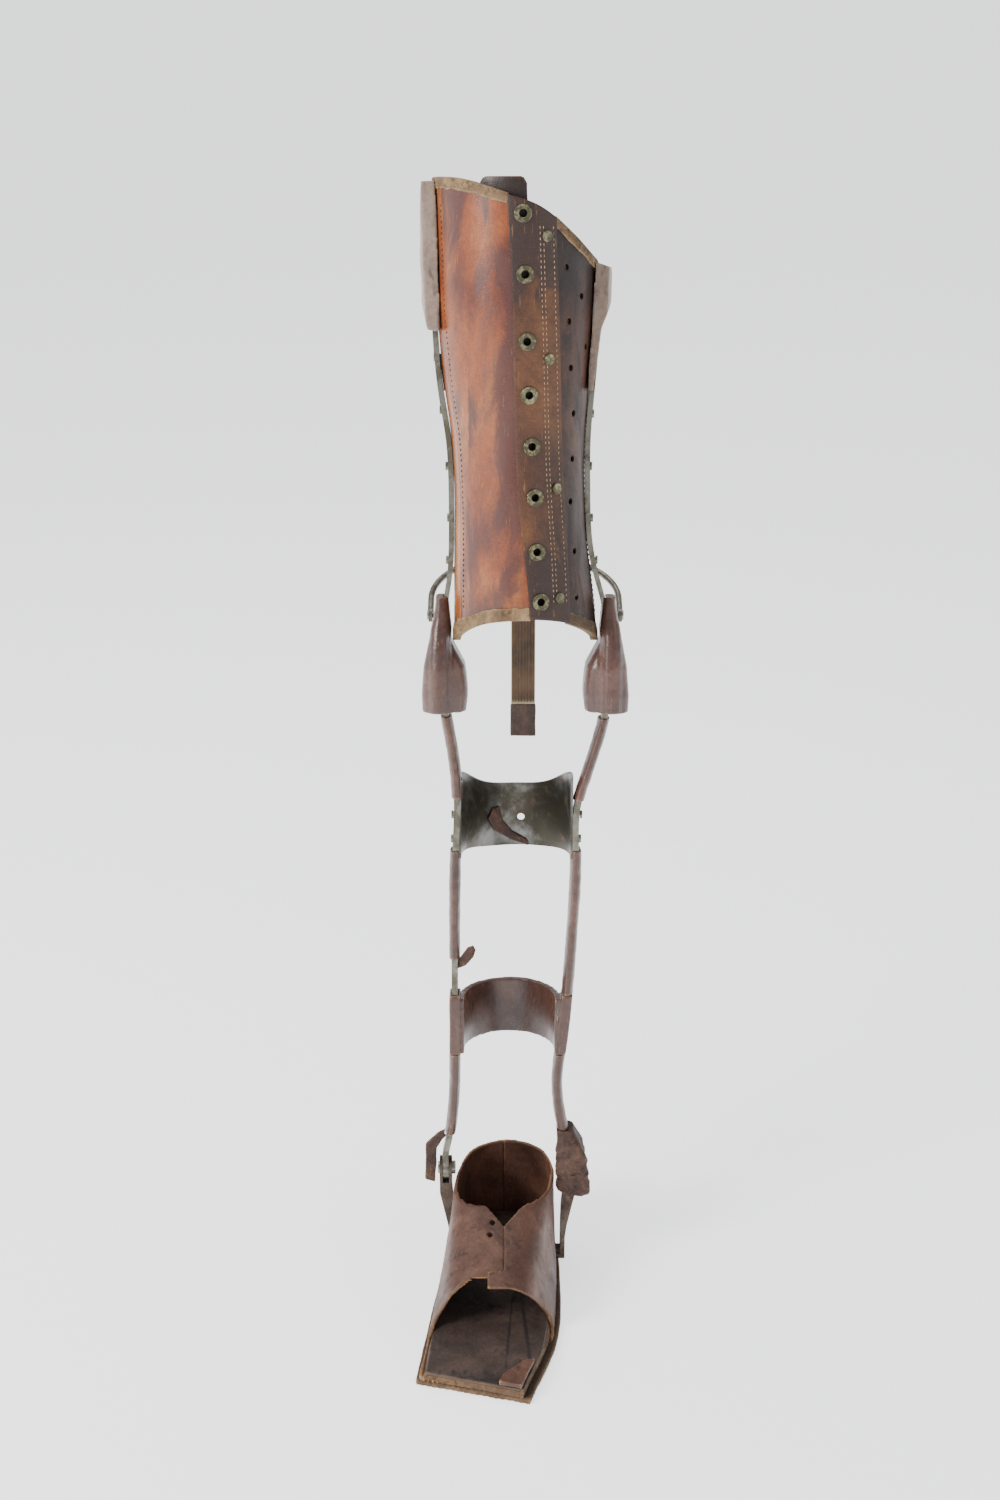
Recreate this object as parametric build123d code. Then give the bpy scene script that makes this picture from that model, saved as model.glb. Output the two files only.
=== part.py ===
# Long leg brace for a right leg: laced leather thigh corset, two steel side bars with locked knee
# joints, two calf bands and an open-toed leather foot piece on a stirrup.
# Millimetres. Origin on the ground under the middle of the ankle axis; -Y points to the toes,
# +X to the medial side, +Z up. The uprights lean back about the ankle axis, so everything above
# it is drawn in an upright frame (x, y, height above the ankle axis) and tilted at the end.
from build123d import *
from math import cos, radians, sin
import os

os.makedirs("parts", exist_ok=True)

# ---------------------------------------------------------------- driving dimensions
LEAN = 8.0                 # backward lean of the uprights, degrees
ANKLE_HEIGHT = 90.0        # ankle axis above the ground
KNEE = 430.0               # knee axis above the ankle axis
KNEE_X = {"lateral": -51.0, "medial": 78.5}
ANKLE_X = {"lateral": -51.6, "medial": 51.6}
OUTWARD = {"lateral": -1, "medial": 1}

BAR_WIDTH = 16.0           # front to back
SHANK_BAR = 5.0            # thickness
THIGH_BAR = 4.0
SLEEVE_WALL = 2.0
RUNNING_FIT = 0.05         # radial clearance of a turning joint

HEAD_RADIUS = 15.0         # shank bar's knee head
CHEEK_GAP = 2.7            # joint plane to the inner face of a knee cheek
CHEEK = 2.0                # knee cheek thickness
KNEE_SCREW = 4.0           # radius
KNEE_SCREW_HEAD = 6.5
KNEE_SCREW_RIM = 1.6
HEAD_SEAT = HEAD_RADIUS + 0.8  # hollow in the thigh bar over the knee head
LUG_RADIUS = 8.0           # ear of a knee cheek round the pawl pivot

PAWL_Y, PAWL_S = 14.0, 466.0   # lock pawl pivot
PAWL_PIN = 2.5
PAWL_EYE = 5.5
PAWL_RADIUS = 5.8
PIN_RIM = 1.2              # height of a pawl pin's head, and how far it reaches past the pin
PAWL_FIT = 0.2             # gap between a pawl and the cheeks
EYE_IN, EYE_OUT = 8.9, 11.9    # bail eye, outward from the joint plane
BAIL_ROD = 2.5
BAIL_REACH = 77.8
BAIL_RISE = 25.9               # degrees above the upright frame's level
BAIL_BEND = 55.0
BAIL_Y = PAWL_Y + BAIL_REACH * cos(radians(BAIL_RISE))
BAIL_S = PAWL_S + BAIL_REACH * sin(radians(BAIL_RISE))

STRAP_WIDTH = 20.0
STRAP_X = 13.0
STRAP_THICK = 2.4
STRAP_LENGTH = 150.0
STRAP_END = 27.0
STRAP_SWAY = 3.0               # degrees from the upright frame's vertical
STRAP_BORE = BAIL_ROD + 0.4

TANG_RADIUS = 9.0
FORK_RADIUS = 10.0
FORK_GAP = 2.7
FORK_OUT = 5.1
FORK_FLOOR = 79.5          # bottom of the slot for the tang
ANKLE_SCREW = 3.0
ANKLE_SCREW_HEAD = 5.5
ANKLE_NUT = 5.0

LEATHER = 3.0              # corset leather
LINING = 1.2
FACING = 2.0
TONGUE = 2.2
BINDING = 1.1
TOP_BINDING_DEPTH = 8.0
LOW_BINDING_DEPTH = 10.0
RIVET_RISE = 1.4
BAND_HEIGHTS = (642, 670)  # rear thigh band

SOLE = 5.0                 # outsole thickness
CROSSBAR = 4.0             # stirrup bar under the foot
PLATE = 1.5                # steel sole plate
INSOLE = 2.5
UPPER = 2.5                # foot leather
RIM = 81.0                 # height of the ankle opening

# bar centre lines: x and height above the ankle axis
SHANK_PATH = {
    "lateral": [(-51.6, -2), (-51.6, 14), (-48.9, 27), (-45.4, 51), (-43.6, 90), (-43.3, 148),
                (-43.2, 214), (-42.2, 275), (-41.0, 330), (-44.8, 363), (-49.6, 392),
                (-51.0, 412), (-51.0, 432)],
    "medial": [(51.6, -2), (51.6, 12), (48.8, 24), (43.7, 48), (40.8, 76), (43.3, 105),
               (48.0, 148), (50.7, 184), (53.8, 235), (54.8, 277), (56.3, 317), (61.5, 335),
               (70.3, 363), (76.8, 389), (78.5, 408), (78.5, 432)],
}
THIGH_PATH = {
    "lateral": [(-51.0, 432), (-51.0, 462), (-49.5, 476), (-46.3, 495), (-44.1, 527),
                (-44.0, 562), (-46.4, 610), (-50.5, 635), (-55.8, 690), (-57.5, 740),
                (-58.6, 792)],
    "medial": [(78.5, 432), (78.0, 460), (74.6, 480), (68.7, 501), (63.6, 527), (61.4, 569),
               (61.5, 610), (64.0, 642), (67.6, 688), (69.4, 734)],
}
TOP_OF_BAR = {"lateral": 789.5, "medial": 729.5}

# corset: height, lateral x, medial x, half depth
CORSET = [(436, -42.4, 70.6, 58), (475, -42.3, 68.0, 58), (500, -42.2, 65.0, 58),
          (530, -41.8, 61.1, 58), (569, -41.8, 58.9, 59), (610, -44.1, 59.2, 60),
          (650, -49.3, 62.1, 63), (700, -53.7, 65.5, 67), (750, -55.2, 67.3, 70),
          (785, -56.0, 68.8, 72), (815, -56.8, 69.8, 73.5)]
# upper edge: high on the lateral side, low on the medial side (x, height)
TOP_EDGE = [(-100, 799), (-40, 798.5), (-6, 789), (26, 777), (48.5, 758), (68, 739), (110, 729)]
# lower edge: scooped out in front and behind the knee (y, height)
LOW_EDGE = [(-100, 474), (-58, 473.5), (-52, 471), (-41, 466), (-29, 460.5), (-12, 453.3),
            (0, 448.5), (10, 453), (24, 467), (40, 478), (58, 484), (100, 486)]
FACING_LEFT = [(-1, 830), (-0.5, 781), (2.4, 730), (4.0, 643), (7.1, 567), (16.4, 478), (18, 440)]
FACING_RIGHT = [(32, 830), (34.4, 754), (37.1, 676), (40, 580), (44, 520), (46, 482), (47, 440)]
LATERAL_SEAM_Y = -26.0
MEDIAL_SEAM_Y = 6.0

EYELETS = [(10.3, 773), (11.9, 730), (13.5, 682), (15.1, 643), (17.4, 605), (19.8, 567),
           (21.4, 526), (24.6, 488)]
LACE_HOLES = [(42.1, 735), (54.1, 714), (44.6, 696), (58.1, 677), (46.4, 662), (48.9, 628),
              (48.4, 594), (47.2, 562), (50.5, 524), (52.3, 489)]
FACING_RIVETS = [(27.7, 757), (29.7, 669), (36.1, 573), (38.9, 490)]
EYELET_BARREL, EYELET_HOLE, EYELET_FLANGE = 4.0, 3.0, 6.5
LACE_HOLE = 2.5

# sole outline on the lateral side from the toe back round the heel to the medial toe corner
SOLE_OUTLINE = [(-72, -168), (-69, -140), (-65, -107), (-58, -50), (-50, -12), (-44, 14),
                (-34, 40), (0, 58), (33, 41), (42, 14), (44, -30), (43, -88), (38, -125),
                (28, -158), (17, -192)]
# foot leather: y, centre x, half width at the sole, half width on top, height, corner radius
FOOT = [(72, -1, 36, 36, 96, 8), (10, -1.5, 42, 40.5, 96, 8), (-46, -8, 49, 36, 84, 24),
        (-88, -12, 51, 31, 68, 26), (-125, -15.5, 51.5, 27, 56, 24), (-200, -28, 46, 24, 44, 20)]
# front edges of the two quarters (y, z)
LATERAL_EDGE = [(-98, 100), (-100, 68), (-106, 61), (-116, 54), (-119, 45), (-116, 31),
                (-115, 18), (-124, 11), (-150, 9), (-172, 7), (-180, 0)]
MEDIAL_EDGE = [(-112, 100), (-117, 66), (-121, 58), (-120, 51), (-112, 37), (-106, 26),
               (-101, 14), (-106, 8), (-118, 6), (-126, 0)]
FLAP_EDGE = -3.0           # medial edge of the lateral quarter's lacing flap
TAB_EDGE = -16.0           # the medial quarter's tab reaches under the flap to here
FLAP_HOLES = [(-12.2, -62), (-14.3, -73)]
TAB_HOLE = (-9.5, -105.5)
FOOT_HOLE = 2.2            # radius
RIVET_ROW = (-22, 0, 22)   # rivets through the insole
# a stirrup arm, wider towards its fork (distance from the middle, height)
STIRRUP_ARM = [(44.5, 5), (44.5, 30), (45, 50), (46.5, 70), (56.7, 70), (53.5, 55), (50, 38),
               (48.5, 26), (48.5, 5)]


# ---------------------------------------------------------------- helpers
def leaned(shape):
    """Move a shape from the upright frame into the object's frame."""
    return Pos(0, 0, ANKLE_HEIGHT) * Rot(-LEAN, 0, 0) * shape


def save(name, shape):
    export_step(shape, f"parts/{name}.step")


def group(shapes):
    return Compound(children=list(shapes))


def largest(shape):
    """The largest solid of a shape, without slivers left by a cut."""
    return shape.solids().sort_by(SortBy.VOLUME)[-1]


def slab(low, high, y_low=-300, y_high=300, x_low=-300, x_high=300):
    """A box between two heights, and between other limits if they are given."""
    size = (x_high - x_low, y_high - y_low, high - low)
    middle = ((x_high + x_low) / 2, (y_high + y_low) / 2, (high + low) / 2)
    return Pos(*middle) * Box(*size)


def disc(x_low, x_high, y, z, radius):
    """A cylinder along X between two x values."""
    length = abs(x_high - x_low)
    return Pos((x_low + x_high) / 2, y, z) * Rot(0, 90, 0) * Cylinder(radius, length)


def across(side, inner, outer, y, z, radius, middle=None):
    """A cylinder along X, given by distances outward from a joint plane."""
    plane = KNEE_X[side] if middle is None else middle
    sign = OUTWARD[side]
    return disc(plane + sign * inner, plane + sign * outer, y, z, radius)


def ribbon(path, thickness, width, y_middle=0.0):
    """A flat bar whose centre line runs through (x, z) points, its width along Y."""
    line = Spline(*[(x, 0, z) for x, z in path])
    edges = {1: [], -1: []}
    for x, z in path:
        at = line.param_at_point(Vector(x, 0, z))
        along = line % at
        for sign in edges:
            offset = Vector(along.Z, 0, -along.X) * (sign * thickness / 2)
            edges[sign].append(Vector(x, 0, z) + offset)
    first, second = Spline(*edges[1]), Spline(*edges[-1])
    outline = [first, second, Line(first @ 0, second @ 0), Line(first @ 1, second @ 1)]
    face = make_face(outline)
    return Pos(0, y_middle - width / 2, 0) * extrude(face, amount=width, dir=(0, 1, 0))


def along_y(points, closing, half=150, y_low=None, y_high=None):
    """A prism along Y: a spline through (x, z) points closed by straight lines."""
    edge = Spline(*[(x, 0, z) for x, z in points])
    corners = [points[-1]] + closing + [points[0]]
    lines = Polyline(*[(x, 0, z) for x, z in corners])
    low, high = (-half if y_low is None else y_low), (half if y_high is None else y_high)
    face = make_face([edge] + lines.edges())
    return Pos(0, low, 0) * extrude(face, amount=high - low, dir=(0, 1, 0))


def prism_y(points, low, high):
    """A prism along Y with straight edges through (x, z) points."""
    face = make_face(Polyline(*[(x, 0, z) for x, z in points], close=True))
    return Pos(0, low, 0) * extrude(face, amount=high - low, dir=(0, 1, 0))


def along_x(points, closing, x_low=-150, x_high=150):
    """A prism along X: a spline through (y, z) points closed by straight lines."""
    edge = Spline(*[(0, y, z) for y, z in points])
    corners = [points[-1]] + closing + [points[0]]
    lines = Polyline(*[(0, y, z) for y, z in corners])
    face = make_face([edge] + lines.edges())
    return Pos(x_low, 0, 0) * extrude(face, amount=x_high - x_low, dir=(1, 0, 0))


def side_plate(side, inner, outer, outline):
    """A plate in the Y-Z plane between two distances outward from the knee plane."""
    sign = OUTWARD[side]
    start = KNEE_X[side] + sign * inner
    return Pos(start, 0, 0) * extrude(outline, amount=outer - inner, dir=(sign, 0, 0))


# ---------------------------------------------------------------- corset
def corset_solid(offset=0.0):
    sections = []
    for height, lateral, medial, depth in CORSET:
        middle, half = (lateral + medial) / 2, (medial - lateral) / 2
        sections.append(Pos(middle, 0, height) * Ellipse(half + offset, depth + offset))
    return loft(sections)


def below_top(drop=0.0):
    points = [(x, z - drop) for x, z in TOP_EDGE]
    return along_y(points, [(110, 400), (-100, 400)])


def above_low(rise=0.0):
    points = [(y, z + rise) for y, z in LOW_EDGE]
    return along_x(points, [(100, 850), (-100, 850)])


def front_plane(solid, x, height):
    """Plane on a solid's front surface, its Z pointing out of the leather."""
    hits = solid.find_intersection_points(Axis((x, -200, height), (0, 1, 0)))
    point, normal = min(hits, key=lambda hit: hit[0].Y)
    if normal.Y > 0:
        normal = normal * -1
    return Plane(origin=point, z_dir=normal)


def between_facing_edges():
    right = [Vector(x, 0, z) for x, z in FACING_RIGHT]
    left = [Vector(x, 0, z) for x, z in FACING_LEFT]
    first, second = Spline(*left), Spline(*right)
    face = make_face([first, second, Line(left[0], right[0]), Line(left[-1], right[-1])])
    return Pos(0, -150, 0) * extrude(face, amount=150, dir=(0, 1, 0))


def build_corset():
    outer, leather_in = corset_solid(), corset_solid(-LEATHER)
    lining_in = corset_solid(-LEATHER - LINING)
    between = below_top(BINDING) & above_low(BINDING)
    wall = (outer - leather_in) & between
    lining = (leather_in - lining_in) & between

    facing_zone = between_facing_edges()
    facing = ((corset_solid(FACING) - outer) & facing_zone) & between
    facing_surface = corset_solid(FACING)
    eyelet_planes = [front_plane(facing_surface, x, z) for x, z in EYELETS]
    hole_planes = [front_plane(outer, x, z) for x, z in LACE_HOLES]

    right_of_facing = along_y(FACING_RIGHT, [(300, 440), (300, 830)], y_low=-150,
                              y_high=MEDIAL_SEAM_Y)
    medial = wall & right_of_facing
    back = wall & (slab(400, 850, MEDIAL_SEAM_Y, 150) + slab(400, 850, LATERAL_SEAM_Y,
                                                             MEDIAL_SEAM_Y, x_high=0))
    front = wall - medial - back
    barrels = [plane * Cylinder(EYELET_BARREL, 24) for plane in eyelet_planes]
    holes = [plane * Cylinder(LACE_HOLE, 24) for plane in hole_planes]
    for barrel in barrels:
        front, lining, facing = front - barrel, lining - barrel, facing - barrel
    for hole in holes:
        medial, lining = medial - hole, lining - hole

    top_rim = (corset_solid(BINDING) - corset_solid(-LEATHER - LINING - BINDING))
    shell = outer - lining_in
    facing_block = facing_surface & facing_zone
    top_band = (top_rim & (below_top() - below_top(TOP_BINDING_DEPTH))) - (shell & between)
    low_band = (top_rim & (above_low() - above_low(LOW_BINDING_DEPTH))) - (shell & between)
    top_band, low_band = top_band - facing_block, low_band - facing_block

    tongue_zone = prism_y([(-22, 400), (-24, 794), (-20, 799), (10, 798), (14, 792),
                           (40, 400)], -150, 0)
    tongue_out = -LEATHER - LINING - BINDING
    tongue = (corset_solid(tongue_out) - corset_solid(tongue_out - TONGUE)) & tongue_zone
    tongue = tongue & above_low(14)

    eyelets = []
    for plane in eyelet_planes:
        flange = Pos(0, 0, 0.6) * Cylinder(EYELET_FLANGE, 1.2)
        barrel = Pos(0, 0, -3.4) * Cylinder(EYELET_BARREL, 6.8)
        ring = flange + barrel - Cylinder(EYELET_HOLE, 30)
        eyelets.append(plane * fillet(ring.edges().sort_by(Axis.Z)[-1], 0.25))
    rivets = []
    for x, z in FACING_RIVETS:
        plane = front_plane(facing_surface, x, z)
        rivets.append(plane * (Pos(0, 0, 0.5) * Cylinder(4.0, 1.4)) - facing_surface)

    save("corset_front_panel", leaned(front))
    save("corset_medial_panel", leaned(medial))
    save("corset_back_panel", leaned(back))
    save("corset_lining", leaned(lining))
    save("eyelet_facing", leaned(facing))
    save("top_binding", leaned(top_band))
    save("bottom_binding", leaned(low_band))
    save("lacing_tongue", leaned(tongue))
    save("lace_eyelets", leaned(group(eyelets)))
    save("facing_rivets", leaned(group(rivets)))


# ---------------------------------------------------------------- thigh bars, pads and covers
def knee_cheek_outline():
    """Disc round the knee axis, ear round the pawl pivot and a tail along the bar."""
    lug_s = PAWL_S - KNEE
    head = Circle(HEAD_RADIUS)
    tail = Pos(0, 24) * Rectangle(BAR_WIDTH, 48)
    lug = Pos(PAWL_Y, lug_s) * Circle(LUG_RADIUS)
    web = make_face(Polyline((8, 10), (13.6, 7), (PAWL_Y + LUG_RADIUS, lug_s - 1),
                             (PAWL_Y, lug_s + LUG_RADIUS), (0, lug_s + LUG_RADIUS), (8, 10)))
    outline = head + tail + lug + web - Circle(KNEE_SCREW)
    outline = outline - Pos(PAWL_Y, lug_s) * Circle(PAWL_PIN + RUNNING_FIT)
    return Plane(origin=(0, 0, KNEE), x_dir=(0, 1, 0), z_dir=(1, 0, 0)) * outline


def thigh_bar(side):
    bar = ribbon(THIGH_PATH[side], THIGH_BAR, BAR_WIDTH) & slab(KNEE + 34, TOP_OF_BAR[side])
    block = slab(KNEE + HEAD_SEAT, KNEE + 48, -BAR_WIDTH / 2, 6.2, KNEE_X[side] - CHEEK_GAP,
                 KNEE_X[side] + CHEEK_GAP)
    block = block - across(side, -CHEEK_GAP, CHEEK_GAP, 0, KNEE, HEAD_SEAT)
    outline = knee_cheek_outline()
    shape = bar + block
    for sign in (1, -1):
        low, high = sorted((sign * CHEEK_GAP, sign * (CHEEK_GAP + CHEEK)))
        shape = shape + side_plate(side, low, high, outline)
    return shape


def bar_x(path, height):
    """x of a bar's centre line at a height, by straight interpolation."""
    for (x0, z0), (x1, z1) in zip(path, path[1:]):
        if z0 <= height <= z1:
            return x0 + (x1 - x0) * (height - z0) / (z1 - z0)
    raise ValueError(height)


def bar_rivets(path, heights, side, thickness, bar):
    """Rivet heads on a bar's outer face."""
    radius, seat = 3.2, 0.4
    sign, shapes = OUTWARD[side], []
    for height in heights:
        face = bar_x(path, height) + sign * thickness / 2
        rivet = disc(face - sign * seat, face + sign * RIVET_RISE, 0, height, radius)
        shapes.append(rivet - bar)
    return shapes


def bar_pad(side, band):
    """Suede pad over the top of a side bar."""
    outlines = {
        "lateral": [(-52, 688), (-61, 689), (-66, 710), (-66.5, 745), (-65, 797), (-50, 798)],
        "medial": [(60, 644), (64.5, 643), (70.5, 690), (78, 711), (79.5, 728), (78, 735),
                   (62, 740)],
    }
    prism = prism_y(outlines[side], -24, 24)
    tunnel = ribbon(THIGH_PATH[side], THIGH_BAR + 0.1, BAR_WIDTH + 0.1)
    return (prism & corset_solid(12)) - corset_solid(BINDING) - tunnel - band


KNEE_COVER = [  # height, middle outward, half width, front y, back y, corner radius
    (484, 0.8, 7.4, -11, 8.5, 5.0), (466, 1.0, 7.6, -13, 9.5, 5.5), (450, 2.1, 8.7, -17, 19, 6.5),
    (444.5, 1.4, 10.6, -18, 22, 7.0), (428, 0.0, 15.4, -20, 27, 10), (405, 0.0, 17.0, -20, 28, 11),
    (392, 0.0, 16.4, -19, 27, 11)]


def knee_cover(side, bar):
    """Folded leather pouch over the joint, open behind and below so the shank bar can swing."""
    wall, sign = 1.9, OUTWARD[side]
    outer, inner = [], []
    for height, out, half, front, back, radius in KNEE_COVER:
        middle = KNEE_X[side] + sign * out
        outer.append(Pos(middle, (front + back) / 2, height)
                     * RectangleRounded(2 * half, back - front, radius))
        deep = back + 12
        inner.append(Pos(middle, (front + wall + deep) / 2, height)
                     * RectangleRounded(2 * (half - wall), deep - front - wall, radius - wall))
    pouch = loft(outer, ruled=True) - (loft(inner, ruled=True) & slab(380, 481))
    pouch = pouch - across(side, -20, 20, PAWL_Y, PAWL_S, PAWL_PIN + 0.7)
    return pouch - bar


def build_thigh():
    screws, rivets = [], []
    reach = CHEEK_GAP + CHEEK
    band = corset_solid(1.6) - corset_solid()
    band = band & slab(*BAND_HEIGHTS, BAR_WIDTH / 2, 120)
    for side in ("lateral", "medial"):
        bar = thigh_bar(side)
        save(f"{side}_thigh_bar", leaned(bar))
        save(f"{side}_bar_pad", leaned(bar_pad(side, band)))
        save(f"{side}_knee_cover", leaned(knee_cover(side, bar)))
        shaft = across(side, -reach, reach, 0, KNEE, KNEE_SCREW)
        for sign in (1, -1):
            low, high = sorted((sign * reach, sign * (reach + KNEE_SCREW_RIM)))
            shaft = shaft + across(side, low, high, 0, KNEE, KNEE_SCREW_HEAD)
        screws.append(shaft)
        heights = {"lateral": (512, 545, 585, 628, 668), "medial": (512, 545, 585, 625)}[side]
        rivets += bar_rivets(THIGH_PATH[side], heights, side, THIGH_BAR, bar)
    save("rear_thigh_band", leaned(band))
    save("knee_pivot_screws", leaned(group(screws)))
    save("thigh_bar_rivets", leaned(group(rivets)))


# ---------------------------------------------------------------- knee lock and strap
def pawl(side):
    """Lever behind the knee head; its nose stands clear of the head's rim."""
    outline = Pos(PAWL_Y, PAWL_S) * Circle(PAWL_RADIUS)
    nose = make_face(Polyline((8.2, 462), (7.2, 445.8), (9.5, 445.2), (14, 447), (20, 450),
                              (20.9, 465), (8.2, 462)))
    shape = outline + nose - Pos(PAWL_Y, PAWL_S) * Circle(PAWL_PIN)
    shape = Plane(origin=(0, 0, 0), x_dir=(0, 1, 0), z_dir=(1, 0, 0)) * shape
    return side_plate(side, -CHEEK_GAP + PAWL_FIT, CHEEK_GAP - PAWL_FIT, shape)


def pawl_pin(side):
    """Pin through cheeks, pawl and bail eye, with a head outside and a riveted end inside."""
    inside = -CHEEK_GAP - CHEEK
    tip = inside - 0.7
    pin = across(side, tip, EYE_OUT + PIN_RIM, PAWL_Y, PAWL_S, PAWL_PIN)
    head = across(side, EYE_OUT, EYE_OUT + PIN_RIM, PAWL_Y, PAWL_S, PAWL_PIN + PIN_RIM)
    return pin + head + across(side, tip, inside - 0.1, PAWL_Y, PAWL_S, PAWL_PIN + 0.6)


def build_lock():
    ends = {side: KNEE_X[side] + OUTWARD[side] * (EYE_IN + EYE_OUT) / 2 for side in KNEE_X}
    corners = [(ends["lateral"], PAWL_Y, PAWL_S), (ends["lateral"], BAIL_Y, BAIL_S),
               (ends["medial"], BAIL_Y, BAIL_S), (ends["medial"], PAWL_Y, PAWL_S)]
    path = FilletPolyline(*corners, radius=BAIL_BEND)
    start = Plane(origin=path @ 0, z_dir=path % 0)
    rod = sweep(start * Circle(BAIL_ROD), path=path)
    pins, pawls = [], []
    for side in ("lateral", "medial"):
        rod = rod + across(side, EYE_IN, EYE_OUT, PAWL_Y, PAWL_S, PAWL_EYE)
        rod = rod - across(side, 0, EYE_OUT, PAWL_Y, PAWL_S, PAWL_PIN)
        rod = rod - across(side, EYE_OUT, EYE_OUT + 9, PAWL_Y, PAWL_S, PAWL_PIN + PIN_RIM + 0.1)
        pins.append(pawl_pin(side))
        pawls.append(pawl(side))
    save("lock_bail", leaned(rod))
    save("lock_pawls", leaned(group(pawls)))
    save("pawl_pins", leaned(group(pins)))

    half = STRAP_WIDTH / 2
    bore = disc(-100, 200, BAIL_Y, BAIL_S, STRAP_BORE)
    loop = disc(STRAP_X - half, STRAP_X + half, BAIL_Y, BAIL_S, STRAP_BORE + STRAP_THICK)
    tail = slab(-STRAP_LENGTH, -STRAP_BORE - 0.3, -STRAP_THICK / 2, STRAP_THICK / 2, -half, half)
    thick, wide = STRAP_THICK / 2 + 0.8, half + 0.6
    end = slab(-STRAP_LENGTH, -STRAP_LENGTH + STRAP_END, -thick, thick, -wide, wide)
    place = Pos(STRAP_X, BAIL_Y, BAIL_S) * Rot(STRAP_SWAY, 0, 0)
    save("elastic_strap", leaned((place * tail) + loop - bore - place * end))
    save("strap_end_piece", leaned(place * end))


# ---------------------------------------------------------------- shank
def shank_bar(side):
    sign = OUTWARD[side]
    half, edge = SHANK_BAR / 2, BAR_WIDTH / 2
    low, high = FORK_RADIUS + 1, KNEE - HEAD_RADIUS - 1
    bar = ribbon(SHANK_PATH[side], SHANK_BAR, BAR_WIDTH) & slab(low, high)
    for joint_x, bottom, top in ((ANKLE_X[side], 0, low), (KNEE_X[side], high, KNEE)):
        bar = bar + slab(bottom, top, -edge, edge, joint_x - half, joint_x + half)
    head = across(side, -half, half, 0, KNEE, HEAD_RADIUS)
    tang = across(side, -half, half, 0, 0, TANG_RADIUS, ANKLE_X[side])
    bar = bar + head + tang
    bar = bar - across(side, -10, 10, 0, KNEE, KNEE_SCREW + RUNNING_FIT)
    return bar - across(side, -10, 10, 0, 0, ANKLE_SCREW + RUNNING_FIT, ANKLE_X[side])


def sleeve(side, low, high):
    path = SHANK_PATH[side]
    outer = ribbon(path, SHANK_BAR + 2 * SLEEVE_WALL, BAR_WIDTH + 2 * SLEEVE_WALL)
    return (outer & slab(low, high)) - ribbon(path, SHANK_BAR, BAR_WIDTH)


SLEEVES = {"lateral": {"upper": (321, 388), "middle": (186, 277), "lower": (33, 103)},
           "medial": {"upper": (319, 386), "middle": (155.5, 277), "lower": (36, 103)}}


def half_hoop(lateral, medial, depth, thickness, low, high, offset=0.0):
    """A band from bar to bar behind the calf, with straight tabs inside the bars."""
    middle, half = (lateral + medial) / 2, (medial - lateral) / 2

    def filled(inset):
        bowl = Pos(middle, 0) * Ellipse(half - inset, depth - inset)
        tabs = Pos(middle, -100) * Rectangle(2 * (half - inset), 200)
        return bowl + tabs

    behind = Pos(middle, 100 - BAR_WIDTH / 2) * Rectangle(300, 200)
    profile = (filled(offset) - filled(offset + thickness)) & behind
    return Pos(0, 0, low) * extrude(profile, amount=high - low, dir=(0, 0, 1))


def build_shank():
    for side in ("lateral", "medial"):
        save(f"{side}_shank_bar", leaned(shank_bar(side)))

    bars = [ribbon(SHANK_PATH[side], SHANK_BAR, BAR_WIDTH) for side in ("lateral", "medial")]
    hoop = half_hoop(-39.4, 52.2, 58, 2.0, 255, 350)
    top = along_y([(-60, 352), (-39, 339), (-20, 322), (6, 318), (32, 322), (52, 339),
                   (72, 352)], [(72, 250), (-60, 250)])
    low = along_y([(-60, 276), (-39, 272), (-20, 266.5), (6, 265), (32, 266.5), (52, 271),
                   (72, 276)], [(72, 380), (-60, 380)])
    band = hoop & top & low
    band = band - Pos(11.1, 58, 289) * Rot(90, 0, 0) * Cylinder(3.0, 20)
    for bar in bars:
        band = band - bar
    save("upper_calf_band", leaned(band))
    for side in ("lateral", "medial"):
        for place, (low, high) in SLEEVES[side].items():
            save(f"{side}_{place}_sleeve", leaned(sleeve(side, low, high) - band))

    core = half_hoop(-40.9, 43.4, 50, 1.5, 108, 147, offset=1.8)
    cover = half_hoop(-40.9, 43.4, 50, 5.1, 104, 151)
    for side in ("lateral", "medial"):
        cover = cover + sleeve(side, 103.3, 155)
    for bar in bars:
        cover, core = cover - bar, core - bar
    cover = cover - core
    save("lower_calf_band_core", leaned(core))
    save("lower_calf_band_cover", leaned(cover))

    rivets = []
    for side, bar in zip(("lateral", "medial"), bars):
        rivets += bar_rivets(SHANK_PATH[side], (286, 306), side, SHANK_BAR, bar)
    save("calf_band_rivets", leaned(group(rivets)))

    remnant_hoop = half_hoop(-39.4, 52.2, 58, 2.0, 262, 300, offset=2.0)
    remnant = remnant_hoop & prism_y([(-12, 298), (-16, 290), (-10, 278), (2, 270), (17, 265),
                                      (16, 270), (4, 277), (-4, 287), (-7, 299)], 0, 100)
    save("strap_remnant", leaned(remnant))
    tab = prism_y([(-41, 177), (-41, 184), (-38.5, 187), (-33, 195), (-28, 197), (-26, 193),
                   (-28, 187), (-34, 180)], -6, -3.6)
    tab = tab - bars[0] - sleeve("lateral", *SLEEVES["lateral"]["middle"])
    save("lateral_bar_tab", leaned(tab))

    flap = prism_y([(-49, 40), (-58, 35), (-68, 25), (-68.5, -6), (-60.5, -9), (-58.9, 8),
                    (-58.8, 22), (-54, 29), (-49, 34)], -10, -7)
    flap = flap - bars[0] - sleeve("lateral", *SLEEVES["lateral"]["lower"])
    save("torn_ankle_flap", leaned(flap))
    save("shredded_ankle_wrap", leaned(ankle_wrap(bars[1])))


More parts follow.
